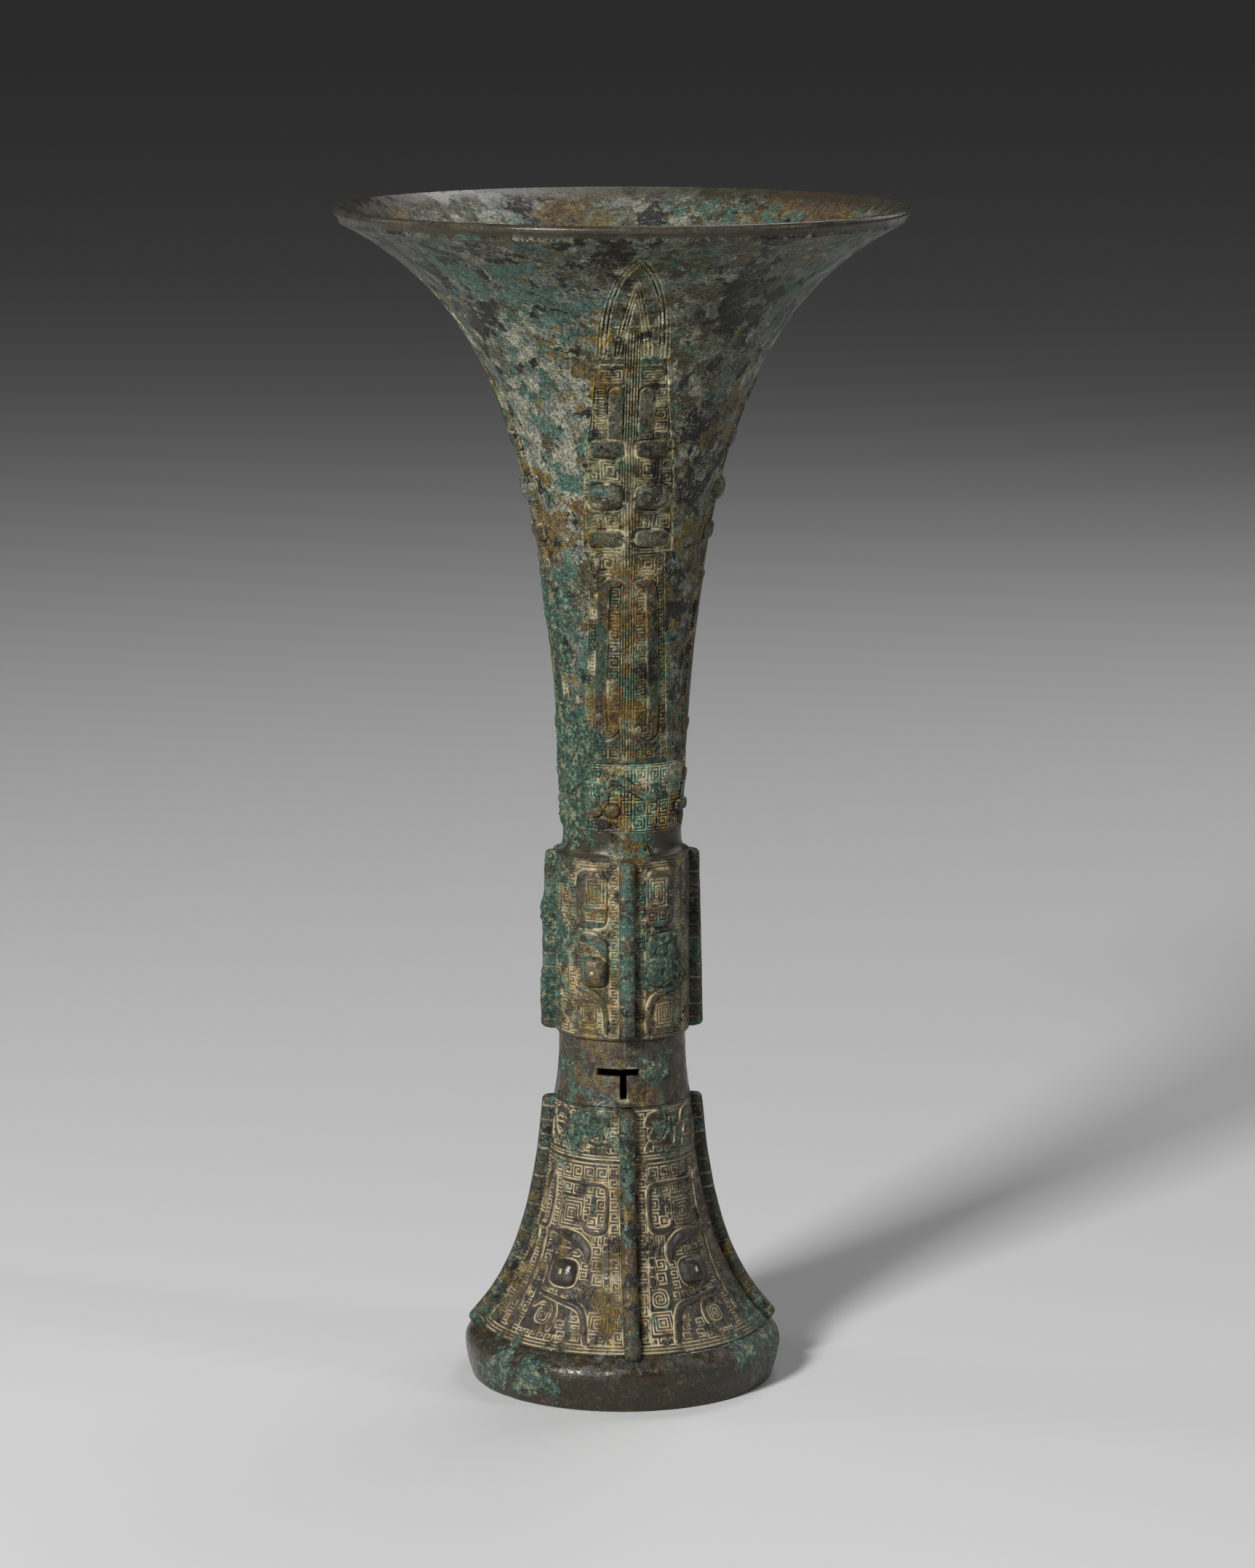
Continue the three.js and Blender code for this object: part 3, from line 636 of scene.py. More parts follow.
mottled = bronze(
    "mottled_patina", ground=OLIVE, second=GREY_GREEN, bare=(0.030, 0.025, 0.017), fill=(0.38, 0.33, 0.21),
    fill_level=0.46, roughness=0.38, specular=0.20, speckle=1.0, wear_and_highlight=1.0,
    levels=(0.55, 0.585, 0.60, 0.67, 0.59, 0.60),
)
knop_patina = bronze(
    "knop_patina", ground=BROWN, second=OLIVE, bare=(0.026, 0.021, 0.014), fill=(0.42, 0.34, 0.20),
    fill_level=0.41, roughness=0.32, specular=0.35, speckle=0.8, wear_and_highlight=0.5,
    levels=(0.68, 0.68, 0.60, 0.66, 0.61, 0.61),
)
foot_patina = bronze(
    "foot_patina", ground=(0.019, 0.016, 0.012), second=(0.036, 0.028, 0.018), bare=(0.024, 0.020, 0.015),
    fill=CREAM, fill_level=0.37, roughness=0.30, specular=0.35, speckle=0.6, wear_and_highlight=0.3,
    levels=(0.70, 0.66, 0.62, 0.70, 0.63, 0.64),
)
brown_patina = bronze(
    "brown_patina", ground=(0.036, 0.025, 0.013), second=(0.027, 0.023, 0.012), bare=(0.018, 0.014, 0.009),
    fill=CREAM, fill_level=0.40, roughness=0.28, specular=0.42, speckle=0.8, wear_and_highlight=0.5,
    levels=(0.66, 0.66, 0.59, 0.64, 0.60, 0.60),
)
green_patina = bronze(
    "green_patina", ground=(0.022, 0.027, 0.019), second=OLIVE, bare=(0.022, 0.019, 0.014),
    fill=CREAM, fill_level=0.42, roughness=0.36, specular=0.30, speckle=0.8, wear_and_highlight=0.5,
    levels=(0.66, 0.66, 0.62, 0.66, 0.56, 0.60),
)

# Finishes: a material and the record's slot
THROAT_FINISH = (mottled, "mottled_bronze")
KNOP_CARVED, KNOP_SMOOTH = (knop_patina, "carved_bronze"), (knop_patina, "brown_bronze")
FOOT_CARVED, FOOT_SMOOTH = (foot_patina, "carved_bronze"), (foot_patina, "brown_bronze")
PLAIN_FINISH = (brown_patina, "brown_bronze")
FLANGE_FINISH = (green_patina, "green_bronze")


# Carving


def rounded(points, steps=8):
    """A smooth curve through points, as a Catmull-Rom spline."""
    p = np.array([points[0], *points, points[-1]], float)
    t = np.linspace(0, 1, steps, endpoint=False)[:, None]
    parts = []
    for a, b, c, d in zip(p[:-3], p[1:-2], p[2:-1], p[3:]):
        bend = (2 * a - 5 * b + 4 * c - d) * t**2 + (3 * b - a - 3 * c + d) * t**3
        parts.append(b + 0.5 * ((c - a) * t + bend))
    return np.concatenate([*parts, p[-1:]])


class Carving:
    """Sunk lines and raised bands over the points of a wall, drawn in degrees and millimetres."""

    LAYERS = ("groove", "ridge", "raised", "ground")

    def __init__(self, wall, angle, z, pen=BOLD_PEN, pitch=BOLD_PITCH, outline=BOLD_PEN):
        self.wall, self.pen, self.pitch, self.outline = wall, pen, pitch, outline
        self.angle, self.z = angle.ravel(), z.ravel()
        self.r = wall.radius(self.z)
        self.run = wall.length(self.z)
        for layer in self.LAYERS:
            setattr(self, layer, np.zeros(self.angle.size))

    def arc(self, mm, z):
        """Degrees that a distance along the wall spans at a height."""
        return math.degrees(mm / self.wall.radius(z))

    def at(self, mm, z):
        """The place at a distance from the middle of a flange or a blade."""
        return self.arc(mm, z), z

    def near(self, path, reach):
        """Points near a path, with their distance to it and their place along it from 0 to 1."""
        low, high = path.min(0), path.max(0)
        margin = reach / self.r
        inside = (self.angle > low[0] - margin) & (self.angle < high[0] + margin)
        inside &= (self.run > low[1] - reach) & (self.run < high[1] + reach)
        pick = np.flatnonzero(inside)
        angle, run, r = self.angle[pick], self.run[pick], self.r[pick]
        best, along = np.full(pick.size, np.inf), np.zeros(pick.size)
        legs = len(path) - 1
        for k in range(legs):
            x0, y0 = (path[k, 0] - angle) * r, path[k, 1] - run
            dx, dy = (path[k + 1, 0] - path[k, 0]) * r, path[k + 1, 1] - path[k, 1]
            t = np.clip(-(x0 * dx + y0 * dy) / np.maximum(dx * dx + dy * dy, 1e-9), 0, 1)
            d = np.hypot(x0 + t * dx, y0 + t * dy)
            closer = d < best
            best[closer] = d[closer]
            along[closer] = (k + t[closer]) / legs
        return pick, best, along

    def sink(self, pick, distance, pen):
        cut = 1 - smooth(pen / 2 - PEN_SOFT, pen / 2 + PEN_SOFT, distance)
        self.groove[pick] = np.maximum(self.groove[pick], cut)
        beside = 1 - smooth(pen / 2, pen / 2 + RIDGE_WIDTH, distance)
        self.ridge[pick] = np.maximum(self.ridge[pick], beside)

    def clear(self, pick, away):
        """Takes lines off a raised part and outlines it. away is the distance outside its edge."""
        outside = smooth(-PEN_SOFT, PEN_SOFT, away)
        self.groove[pick] *= outside
        self.ridge[pick] *= outside
        self.sink(pick, np.abs(away - self.outline / 2), self.outline)

    def score(self, path, pen=None):
        pen = pen or self.pen
        pick, distance, _ = self.near(path, pen + RIDGE_WIDTH)
        self.sink(pick, distance, pen)

    def path(self, points):
        """(degrees, height) to (angle, run)."""
        return np.array([(math.radians(d), self.wall.length(z)) for d, z in points])

    def local(self, degrees, z, points):
        """Millimetres about a place to (angle, run)."""
        place = (math.radians(degrees), self.wall.length(z))
        return np.array(points) * (1 / self.wall.radius(z), 1) + place

    def line(self, *points, pen=None):
        self.score(self.path(points), pen)

    def level(self, z, start, end, pen=None):
        self.line((start, z), (end, z), pen=pen)

    def upright(self, mm, low, high, pen=None):
        """A line that keeps its distance from the flange."""
        self.line(*[self.at(mm, z) for z in np.linspace(low, high, 12)], pen=pen)

    def spiral(self, degrees, z, width, height, flip=1):
        """A square spiral from a lower corner in to the middle, as far as the pitch allows."""
        x, y = -width / 2, -height / 2
        points = [(flip * x, y)]
        for leg in range(40):
            turn, rising = divmod(leg, 2)
            length = height - turn * self.pitch if rising else width - max(turn - 1, 0) * self.pitch
            if length < 0.5 * self.pitch:
                break
            step = -length if turn % 2 else length
            x, y = (x, y + step) if rising else (x + step, y)
            points.append((flip * x, y))
        self.score(self.local(degrees, z, points))

    def row(self, z, height, start, end, count, flip=1):
        """Square spirals side by side between two angles."""
        step = (end - start) / count
        width = math.radians(step) * self.wall.radius(z) - self.pitch
        for k in range(count):
            self.spiral(start + (k + 0.5) * step, z, width, height, flip)

    def stack(self, mm, low, high, count, width, flip=1, degrees=0.0):
        """Square spirals one over the other, at a distance from a flange or from an angle."""
        step = (high - low) / count
        for k in range(count):
            z = low + (k + 0.5) * step
            rise = self.wall.length(z + step / 2) - self.wall.length(z - step / 2)
            self.spiral(degrees + self.arc(mm, z), z, width, rise - self.pitch, flip)

    def column(self, degrees, *sizes):
        self.stack(0, *sizes, degrees=degrees)

    def nested(self, degrees, z, width, height):
        """Squares inside one another."""
        for k in range(int(min(width, height) / 2 / self.pitch) + 1):
            w, h = width / 2 - k * self.pitch, height / 2 - k * self.pitch
            if min(w, h) > 0.1:
                self.score(self.local(degrees, z, [(-w, -h), (w, -h), (w, h), (-w, h), (-w, -h)]))

    def curl(self, degrees, z, size, flip=1, turn=0.0):
        """A spiral with softly squared turns."""
        turns = size / 2 / self.pitch
        t = np.linspace(0.06, 1, int(26 * turns))
        phase = 2 * np.pi * turns * t + math.radians(turn)
        c, s = np.cos(phase), np.sin(phase)
        reach = size / 2 * t / squared(c, s, 3)
        self.score(self.local(degrees, z, np.stack([flip * reach * c, reach * s], axis=1)))

    def band(self, points, halves, lift=0.5):
        """A smooth raised band along a curve, with a sunk outline. halves are half widths along it."""
        path = self.path(rounded(points))
        pick, distance, along = self.near(path, max(halves) + 3 * self.pen)
        half = np.interp(along, np.linspace(0, 1, len(halves)), halves)
        self.clear(pick, distance - half)
        crown = np.sqrt(np.clip(1 - (distance / (half + 0.12)) ** 2, 0, 1)) ** 0.7
        self.raised[pick] = np.maximum(self.raised[pick], lift * crown)

    def pillow(self, degrees, z, width, height, lift, squareness=3.2):
        """A rounded square that is smooth, raised and outlined. A lift of 0 only clears the ground."""
        x = (self.angle - math.radians(degrees)) * self.r / (width / 2)
        y = (self.run - self.wall.length(z)) / (height / 2)
        out = squared(x, y, squareness)
        self.clear(slice(None), (out - 1) * min(width, height) / 2)
        self.raised = np.maximum(self.raised, lift * np.clip(1 - out**4, 0, 1) ** 0.5)


# The designs, drawn from a flange or a blade's middle (0 degrees) outwards: places are degrees and
# heights over the floor

# The eyes' middles, as degrees and heights
BLADE_EYE = (math.degrees(6.25 / throat.radius(237.5)), 237.5)
KNOP_EYE = (28.5, COLLAR_TOP + 0.38 * (KNOP_TOP - COLLAR_TOP))
FOOT_EYE = (39.5, 32.5)


def carve_foot(c):
    """Half of the foot's mask, from the front flange to the side flange."""
    border, inner = 3.75, 5.1
    base, high = RING_TOP + 2.2, 60.9
    for z in (base - 1.5, base - 0.75, base):
        c.level(z, 3.5, 86.5, FINE_PEN)
    c.level(high, 6, 84)
    for mm in (FLANGE_LINE, inner):
        c.upright(mm, base, high)
    c.stack(border, 17.0, 60.4, 15, 1.75)
    c.line(*[(90 - c.arc(inner, z), z) for z in np.linspace(base, high, 12)])
    for z in np.linspace(18.4, 59.0, 15):
        c.spiral(90 - c.arc(border, z), z, 1.75, 2.0, -1)
    # top row, horn and the nested square in its bend
    c.row(58.4, 3.0, c.arc(5.2, 58.4), 76, 6)
    c.level(56.3, 15.5, 76)
    c.row(53.9, 2.5, 25, 53, 3)
    c.stack(7.1, 45.0, 55.6, 3, 2.4)
    c.spiral(25.5, 45.9, 2.4, 2.4, -1)
    c.column(30.0, 47.2, 52.6, 2, 1.9, -1)
    c.nested(42, 47.6, 7.6, 7.8)
    c.band([(54, 55.7), (32, 55.6), (19, 55.3), (15.2, 53.5), (14.9, 46.5), (16.5, 43.9), (23, 43.3),
            (29, 43.9), (31, 45.6)], [0.35, 0.45, 0.5, 0.5, 0.5, 0.75, 0.9, 0.7, 0.4], 0.55)
    # row under the horn, nose bridge and the stack beside it
    c.row(41.2, 2.0, c.arc(5.2, 41.2), 25, 3)
    c.band([c.at(6.0, z) for z in (39.6, 36.5, 33.5, 30.6)], [0.75, 0.75], 0.3)
    for z in (32.3, 34.6, 37.0, 38.7):
        c.line(c.at(5.2, z), c.at(6.8, z), pen=THIN_PEN)
    c.stack(8.7, 30.0, 40.0, 3, 2.4)
    # brow, the eye's place and what surrounds it
    c.column(27.0, 28.6, 36.0, 3, 1.8)
    c.row(37.8, 1.8, 30, 50, 3, -1)
    c.row(27.2, 1.9, 23, 52, 6)
    c.column(54.5, 28.2, 42, 5, 2.2, -1)
    c.band([(25.2, 35.8), (26.8, 38.8), (34, 41.0), (43, 42.0), (52, 42.4)], [0.5, 1.3, 1.7, 1.4, 0.4], 0.8)
    c.pillow(*FOOT_EYE, 8.3, 7.6, 0)
    # nostril, nested square and the lower rows
    c.curl(c.arc(7.9, 27.2), 26.9, 5.4, 1, 100)
    c.nested(*c.at(8.6, 21.4), 5.9, 5.8)
    c.row(17.3, 1.6, c.arc(5.2, 17.3), 19, 3)
    # jaw and its curl
    c.stack(15.2, 16.9, 23.0, 3, 2.0, -1)
    c.stack(19.6, 16.9, 21.6, 2, 2.2)
    c.row(17.2, 1.7, 32, 56, 6)
    c.curl(45.0, 21.8, 5.6, -1, 60)
    c.band([(39.0, 18.9), (38.2, 22.6), (41, 25.0), (47.5, 25.3), (52, 23.6)],
           [0.35, 0.5, 0.55, 0.5, 0.3], 0.35)
    c.band([(51, 27.0), (37, 25.9), (27, 24.8), (23.4, 22.8), (21.2, 19.5), (19.8, 16.8)],
           [0.4, 0.75, 0.95, 0.95, 0.85, 0.6], 0.7)
    # the body beyond the eye
    c.column(58.0, 17, 27.4, 3, 2.6)
    c.column(57.0, 43.2, 56, 4, 2.4)
    c.column(66.5, 43.4, 56, 4, 1.9, -1)
    c.nested(74.0, 49.5, 3.8, 8.0)
    c.column(66.5, 17, 42.4, 7, 2.6, -1)
    c.curl(75.5, 37.4, 4.6, 1, 30)
    c.nested(75.5, 22.0, 5.4, 6.2)
    c.row(29.8, 4.4, 71, 80.5, 1)
    c.band([(62.0, 56), (60.8, 50), (61.5, 44.2), (65, 42.6), (71, 42.8)], [0.4, 0.6, 0.6, 0.7, 0.4], 0.4)
    c.band([(62.5, 41.0), (61.6, 34), (62.0, 26), (63.0, 18)], [0.4, 0.7, 0.7, 0.4], 0.4)
    c.band([(80.5, 41), (73, 40.8), (70.6, 37), (70.8, 32)], [0.35, 0.6, 0.6, 0.35], 0.4)


def carve_dragons(c):
    """Half of the narrow band over the foot's mask: two hooked dragons."""
    for z in (62.2, 63.0, 75.0):
        c.level(z, 6, 84)
    c.upright(FLANGE_LINE, 63, 75)
    c.stack(3.6, 63.6, 74.6, 5, 1.6)
    c.row(65.4, 2.4, c.arc(4.9, 65), 82, 9)
    c.row(69.0, 2.6, c.arc(4.9, 69), 82, 9, -1)
    c.row(72.9, 2.6, c.arc(4.9, 73), 82, 9)
    for start in (14, 50):
        for lift, halves, places in (
            (0.5, (0.6, 1.0, 0.9, 0.5), ((2, 71.4), (6, 73.2), (15, 73.6), (19, 72.0))),
            (0.5, (0.4, 0.9, 0.5), ((17, 69.6), (9, 69.2), (5, 67.8))),
            (0.4, (0.3, 0.5, 0.55, 0.6, 0.4), ((1, 64.4), (4, 66.3), (12, 66.0), (20, 67.6), (24, 72.2))),
            (0.4, (0.35, 0.6, 0.35), ((23, 64.4), (29, 65.8), (30, 69.4))),
        ):
            c.band([(start + degrees, z) for degrees, z in places], halves, lift)


def carve_knop(c):
    """Half of the knop's mask, from the front flange to the side flange."""
    at, low, high = c.at, COLLAR_TOP + 1.2, KNOP_TOP - 1.0
    inner, outer = c.arc(5.0, KNOP_TOP), c.arc(14.3, KNOP_TOP)
    c.line(at(2.3, low), at(25.4, low))
    for z in (high, high - 0.75, high - 1.5):
        c.line(at(4.9, z), at(14.2, z), pen=THIN_PEN)
    for mm in (FLANGE_LINE, 4.75, 14.5, 17.0, 25.2):
        c.upright(mm, low, high)
    c.stack(3.55, low + 0.3, high - 0.3, 18, 1.5)
    c.stack(15.75, low + 0.3, high - 0.3, 18, 1.55, -1)
    # horn block with its large spiral
    c.pillow(*at(9.7, 131.2), 9.2, 15.0, 0.9, squareness=BLOCK_SQUARENESS)
    c.spiral(*at(8.1, 133.0), 4.9, 7.2)
    c.spiral(*at(7.0, 126.6), 1.9, 2.0)
    c.spiral(*at(9.8, 126.7), 2.0, 2.1, -1)
    # brow, the eye's place and what surrounds it
    c.row(122.9, 1.2, inner, outer, 5)
    c.row(117.6, 2.1, c.arc(7.4, KNOP_TOP), c.arc(14.2, KNOP_TOP), 3)
    c.stack(13.5, 107.6, 116.2, 5, 1.2)
    c.row(105.3, 1.3, c.arc(10.2, KNOP_TOP), outer, 2)
    c.band([at(13.8, 121.0), at(10, 120.6), at(6.8, 119.2), at(5.6, 115.2)], [0.6, 1.4, 1.5, 0.6], 0.95)
    c.pillow(*KNOP_EYE, 7.9, 7.7, 0)
    # jaw, its spiral and the corner
    c.spiral(*at(10.4, 100.2), 5.0, 6.2, -1)
    c.stack(6.9, 95.4, 101.4, 4, 1.2)
    c.band([at(14.0, 107.2), at(10, 106.4), at(7.0, 104.6), at(5.7, 101), at(5.6, 96)],
           [0.45, 0.7, 0.8, 0.75, 0.5], 0.6)
    # the body towards the side flange
    c.stack(19.2, low + 0.4, 112, 6, 2.4)
    c.stack(19.2, 124, high - 0.4, 5, 2.4)
    c.stack(23.2, low + 0.4, high - 0.4, 14, 2.6, -1)
    c.curl(*at(20.0, 117.6), 4.6, 1, 40)
    c.band([at(18, 124), at(21, 122.4), at(22.6, 118), at(21.8, 112.6)], [0.35, 0.65, 0.7, 0.4], 0.4)
    c.band([at(18, 98), at(21, 100), at(21.4, 106), at(20, 110.4)], [0.35, 0.6, 0.6, 0.35], 0.4)


def carve_serpent(c):
    """A quarter of the throat's band: a serpent with round eyes on a ground of spirals."""
    low, high = BAND_LOW, BAND_HIGH
    ends = (low + 0.4, high - 0.5)
    for z in ends:
        c.level(z, -46, 46)
    c.row(low + 2.6, 2.9, -45, 45, 7)
    c.row(low + 6.4, 3.0, -45, 45, 7, -1)
    c.row(low + 10.7, 3.8, -45, 45, 7)
    c.row(high - 2.9, 3.4, -45, 45, 7, -1)
    head = -21.5
    body = ((0, 7), (3, 11.6), (16, 14), (30, 11.4), (46, 9), (58, 11))
    c.band([(head + degrees, low + z) for degrees, z in body], [1.0, 1.1, 1.0, 0.9, 0.7, 0.3], 0.55)
    c.pillow(head, low + 3.0, 3.6, 3.2, 0.5, squareness=2.4)
    for side in HANDS.values():
        c.pillow(head + side * 8.2, low + 6.0, 3.5, 3.3, 1.0, squareness=2.2)
        c.spiral(head + side * 12.5, low + 2.6, 2.0, 2.4, side)
    for mm in (-1.25, -0.42, 0.42, 1.25):
        c.line(*[(c.arc(mm, low), z) for z in ends], pen=THIN_PEN)


# The blade's edge, as half its breadth at levels
BLADE_LEVELS = (167.1, 218.4, 223.8, 240.0, 273.7, 285.0, 295.0, 302.4)
BLADE_HALVES = (11.6, 9.8, 12.0, 12.0, 8.9, 8.0, 4.9, 0.6)
BLADE_MARGIN = 1.1
BLADE_LOW = BAND_HIGH - 0.05
BLADE_HIGH = 303.6
# Where the blade's dark ground fades
BLADE_FADE = (268, 280)


def blade_half(z):
    return np.interp(z, BLADE_LEVELS, BLADE_HALVES)


def arch(c, half, low, high, power):
    """One side of a pointed arch on the throat, from its foot to its tip."""
    levels = low + (high - low) * np.linspace(0, 1, 16)
    return [c.at(half * (1 - ((z - low) / (high - low)) ** power) ** 0.85, z) for z in levels]


def carve_blade(c):
    """Half a blade: lines up its middle, spirals, bars, hooked lumps and the pointed arch."""
    at = c.at

    def inset(mm, z):
        return at(blade_half(z) - mm, z)

    for mm in (0.38, 1.1, 1.8):
        c.upright(mm, 168.0, 281, THIN_PEN)
    # lower body: nested squares, a smooth bar with a wide foot and a narrow border
    c.stack(3.7, 181.0, 213.4, 9, 2.5)
    c.spiral(*at(3.4, 169.8), 1.9, 1.6)
    c.spiral(*at(6.2, 169.8), 1.9, 1.6, -1)
    for z in np.linspace(169.6, 215.0, 24):
        c.spiral(*inset(1.3, z), 0.9, 1.1)
    for mm in (0.3, 2.3):
        c.line(*[inset(mm, z) for z in np.linspace(168.2, 216.4, 12)], pen=THIN_PEN)
    c.band([(c.arc(3.4, 176.4), 176.0), (c.arc(6.2, 175.6), 175.4), inset(4.0, 182), inset(3.9, 198),
            inset(3.8, 211), at(5.2, 214.7), at(2.7, 214.8)], [1.1, 1.9, 1.5, 1.6, 1.6, 1.2, 0.9], 0.45)
    c.spiral(*at(4.9, 176.0), 2.2, 2.4)
    # squares over the step, hooked lumps, eyes
    c.nested(*at(5.0, 219.9), 5.4, 5.2)
    c.stack(9.0, 217.4, 222.8, 2, 1.5)
    c.upright(11.6, 223.4, 240.6)
    c.level(223.3, c.arc(2.2, 223.4), c.arc(11.5, 223.4))
    c.pillow(*at(6.2, 226.6), 9.0, 4.4, 0.8, squareness=BLOCK_SQUARENESS)
    c.spiral(*at(4.4, 230.9), 3.2, 3.6)
    c.spiral(*at(8.9, 230.8), 3.6, 3.8, -1)
    c.pillow(*BLADE_EYE, 9.2, 6.6, 0)
    c.nested(*at(5.0, 244.6), 5.2, 5.6)
    c.stack(9.6, 241.6, 247.6, 2, 2.2)
    c.line(at(2.2, 241.3), at(11.5, 241.3))
    # bars and spirals under the shoulder
    c.stack(7.9, 254.6, 266.6, 4, 2.9)
    c.band([at(3.9, z) for z in (252, 256, 260, 265)], [1.8, 1.8], 0.5)
    c.pillow(*at(6.0, 250.4), 8.6, 4.8, 0.8, squareness=BLOCK_SQUARENESS)
    c.spiral(*at(5.6, 269.6), 5.8, 3.4)
    c.line(*[inset(0.3, z) for z in (241, 252, 262, 272.4)])
    c.level(272.7, c.arc(0.8, 272.6), inset(0.3, 272.6)[0])
    # pointed arch over the shoulder
    c.stack(3.4, 274.4, 282.4, 2, 2.0)
    c.level(283.0, c.arc(0.4, 282.6), c.arc(5.0, 282.6))
    for grow in (0.0, 1.0, 2.0):
        c.line(*arch(c, 2.6 + grow, 275.0, 290.6 + 2.2 * grow, 1.3), pen=ARCH_PEN)
    for grow in (0.0, 1.05, 2.1):
        c.line(*arch(c, 8.9 - grow, 274.6, 302.6 - 1.4 * grow, 3.4), pen=ARCH_PEN)
    for z in np.arange(275.4, 284.0, 1.1):
        c.line(at(7.3, z), at(8.1, z), pen=TICK_PEN)


# Pieces on the walls


def carved_plate(name, wall, angle, z, carving, turn, finish, nodes, side=1, ease=0.0, shine=0.3, strips=1):
    """A carved sheet on a wall, closed by a plain back inside it.

    angle and z are grids with rows rising. side mirrors the carving, turn is the face's angle, ease
    rounds the upper and the lower edge, and shine is how smooth the raised parts are.
    """
    rows, columns = angle.shape
    layers = [getattr(carving, layer).reshape(rows, columns) for layer in carving.LAYERS]
    groove, ridge, raised, ground = (layer[:, ::side].ravel() for layer in layers)
    angle = side * angle[:, ::side] + math.radians(turn)
    points, normals = wall.place(angle, z)
    tones, lumps = patina_at(points)
    crust = tones["crust"]
    worn = np.clip(0.7 + 0.6 * rough_noise(points, 12.0, 71, 3), 0.6, 1.1)
    relief = (raised - GROOVE_DEPTH * groove) * worn * (1 - CRUST_LEVEL * crust) + lumps + PLATE_LIFT
    relief = relief.reshape(rows, columns) - rounded_ends(wall.length(z), ease)
    relief[[0, -1]] = -ease
    front = (points + normals * relief.reshape(-1, 1)).reshape(rows, columns, 3)
    front[[0, -1], :, 2] = z[[0, -1]]
    keep = np.linspace(columns - 1, 0, BACK_COLUMNS).round().astype(int)
    back = turned(wall.bore(z[:, keep], PLATE_DEPTH), angle[:, keep], z[:, keep])
    # fill marks the grooves, which hold earth or are painted dark as shade; ridge marks the strips beside
    # them, painted paler for wear and as a painted highlight
    values = {
        "fill": groove * (1 - CRUST_COVER * crust),
        "ridge": ridge * (1 - groove) * (1 - CRUST_COVER * crust),
        "polish": shine * np.minimum(raised / 0.4, 1),
        "ground": ground,
        **tones,
    }
    plain_back = ((0, 0), (0, BACK_COLUMNS))
    values = {key: np.pad(value.reshape(rows, columns), plain_back) for key, value in values.items()}
    run = wall.length(z[:, 0])
    across = np.concatenate([np.linspace(0, 0.90, columns), np.linspace(0.92, 0.98, BACK_COLUMNS), [1]])
    up = (run - run[0]) / (run[-1] - run[0])
    fan = np.concatenate([np.linspace(0.01, 0.99, columns), np.linspace(0.99, 0.01, BACK_COLUMNS)])
    cap_map = np.stack([fan, np.repeat([0.955, 0.970], [columns, BACK_COLUMNS])], 1)
    quad_map = grid_map(across, up, QUADS_BOX, strips)
    rings = np.concatenate([front, back], axis=1)
    add_tube(name, rings, quad_map, cap_map, cap_map + (0, 0.025), finish, nodes, **values)


def lathe(name, outline, columns, finish, node, sink=None, polish=None):
    """A closed outline of (radius, height) turned round the axis, with crust and pits.

    sink and polish say how far points lie back, and how smooth they are.
    """
    angle = np.linspace(0, 2 * np.pi, columns, endpoint=False)
    ahead = np.roll(outline, -1, 0) - np.roll(outline, 1, 0)
    ahead = ahead / np.maximum(np.hypot(*ahead.T), 1e-9)[:, None]
    points = turned(outline[:, :1], angle, outline[:, 1:]).reshape(-1, 3)
    normals = turned(ahead[:, 1:], angle, -ahead[:, :1]).reshape(-1, 3)
    tones, lumps = patina_at(points)
    shine = polish(points) if polish else np.zeros(len(points))
    lift = (lumps - pits_at(points, PIT_DEPTH)) * (1 - shine)
    if sink:
        lift = lift - sink(points, normals)
    moved = points + normals * lift[:, None]
    moved[:, :2] *= np.minimum(1, RIM_RADIUS / np.hypot(moved[:, 0], moved[:, 1]))[:, None]
    moved[:, 2] = np.clip(moved[:, 2], 0, RIM_TOP)
    quads = ring_faces(len(outline) + 1, columns) % len(points)
    run = lengths(np.vstack([outline, outline[:1]]))
    quad_map = grid_map(np.linspace(0, 1, columns + 1), run / run[-1], (0.01, 0.01, 0.99, 0.99))
    add_piece(name, moved, quads, quad_map, finish, [node], polish=shine, **tones)


def bore_of(wall):
    """The inner side of a wall from its top down."""
    return np.stack([wall.bore(wall.z), wall.z], 1)[::-1]


def under_plates(points, normals):
    """How far the plain throat lies back under the blades and the band."""
    z = points[:, 2]
    r, angle = polar(points)
    inside = np.minimum(blade_half(z) + 0.3 - np.abs(folded(angle, 4)) * r, BLADE_HIGH - 1 - z)
    inside = np.minimum(inside, z - BLADE_LOW + 6)
    outer = (normals[:, 0] * points[:, 0] + normals[:, 1] * points[:, 1] > 0) & (z < BLADE_HIGH)
    in_band = (z > BAND_LOW + 0.6) & (z < BAND_HIGH - 1.4)
    return outer * np.maximum(CORE_SINK * smooth(-0.2, 0.8, inside), 0.5 * in_band)


def polished_throat(points):
    """The lip and the neck under the band are smooth, apart from the neck's front."""
    z = points[:, 2]
    r, angle = polar(points)
    lip = smooth(RIM_TOP - 4.0, RIM_TOP - 2.0, z) * smooth(RIM_RADIUS - 2.6, RIM_RADIUS - 1.6, r)
    middle, start, full = NECK_PATCH
    aside = np.degrees(np.abs(angle - math.radians(middle)))
    neck = 1 - smooth(BAND_LOW - 0.5, BAND_LOW + 0.5, z)
    return np.maximum(lip, 0.9 * neck * smooth(start, full, aside))


def polished_ring(points):
    return np.full(len(points), RING_SHINE)


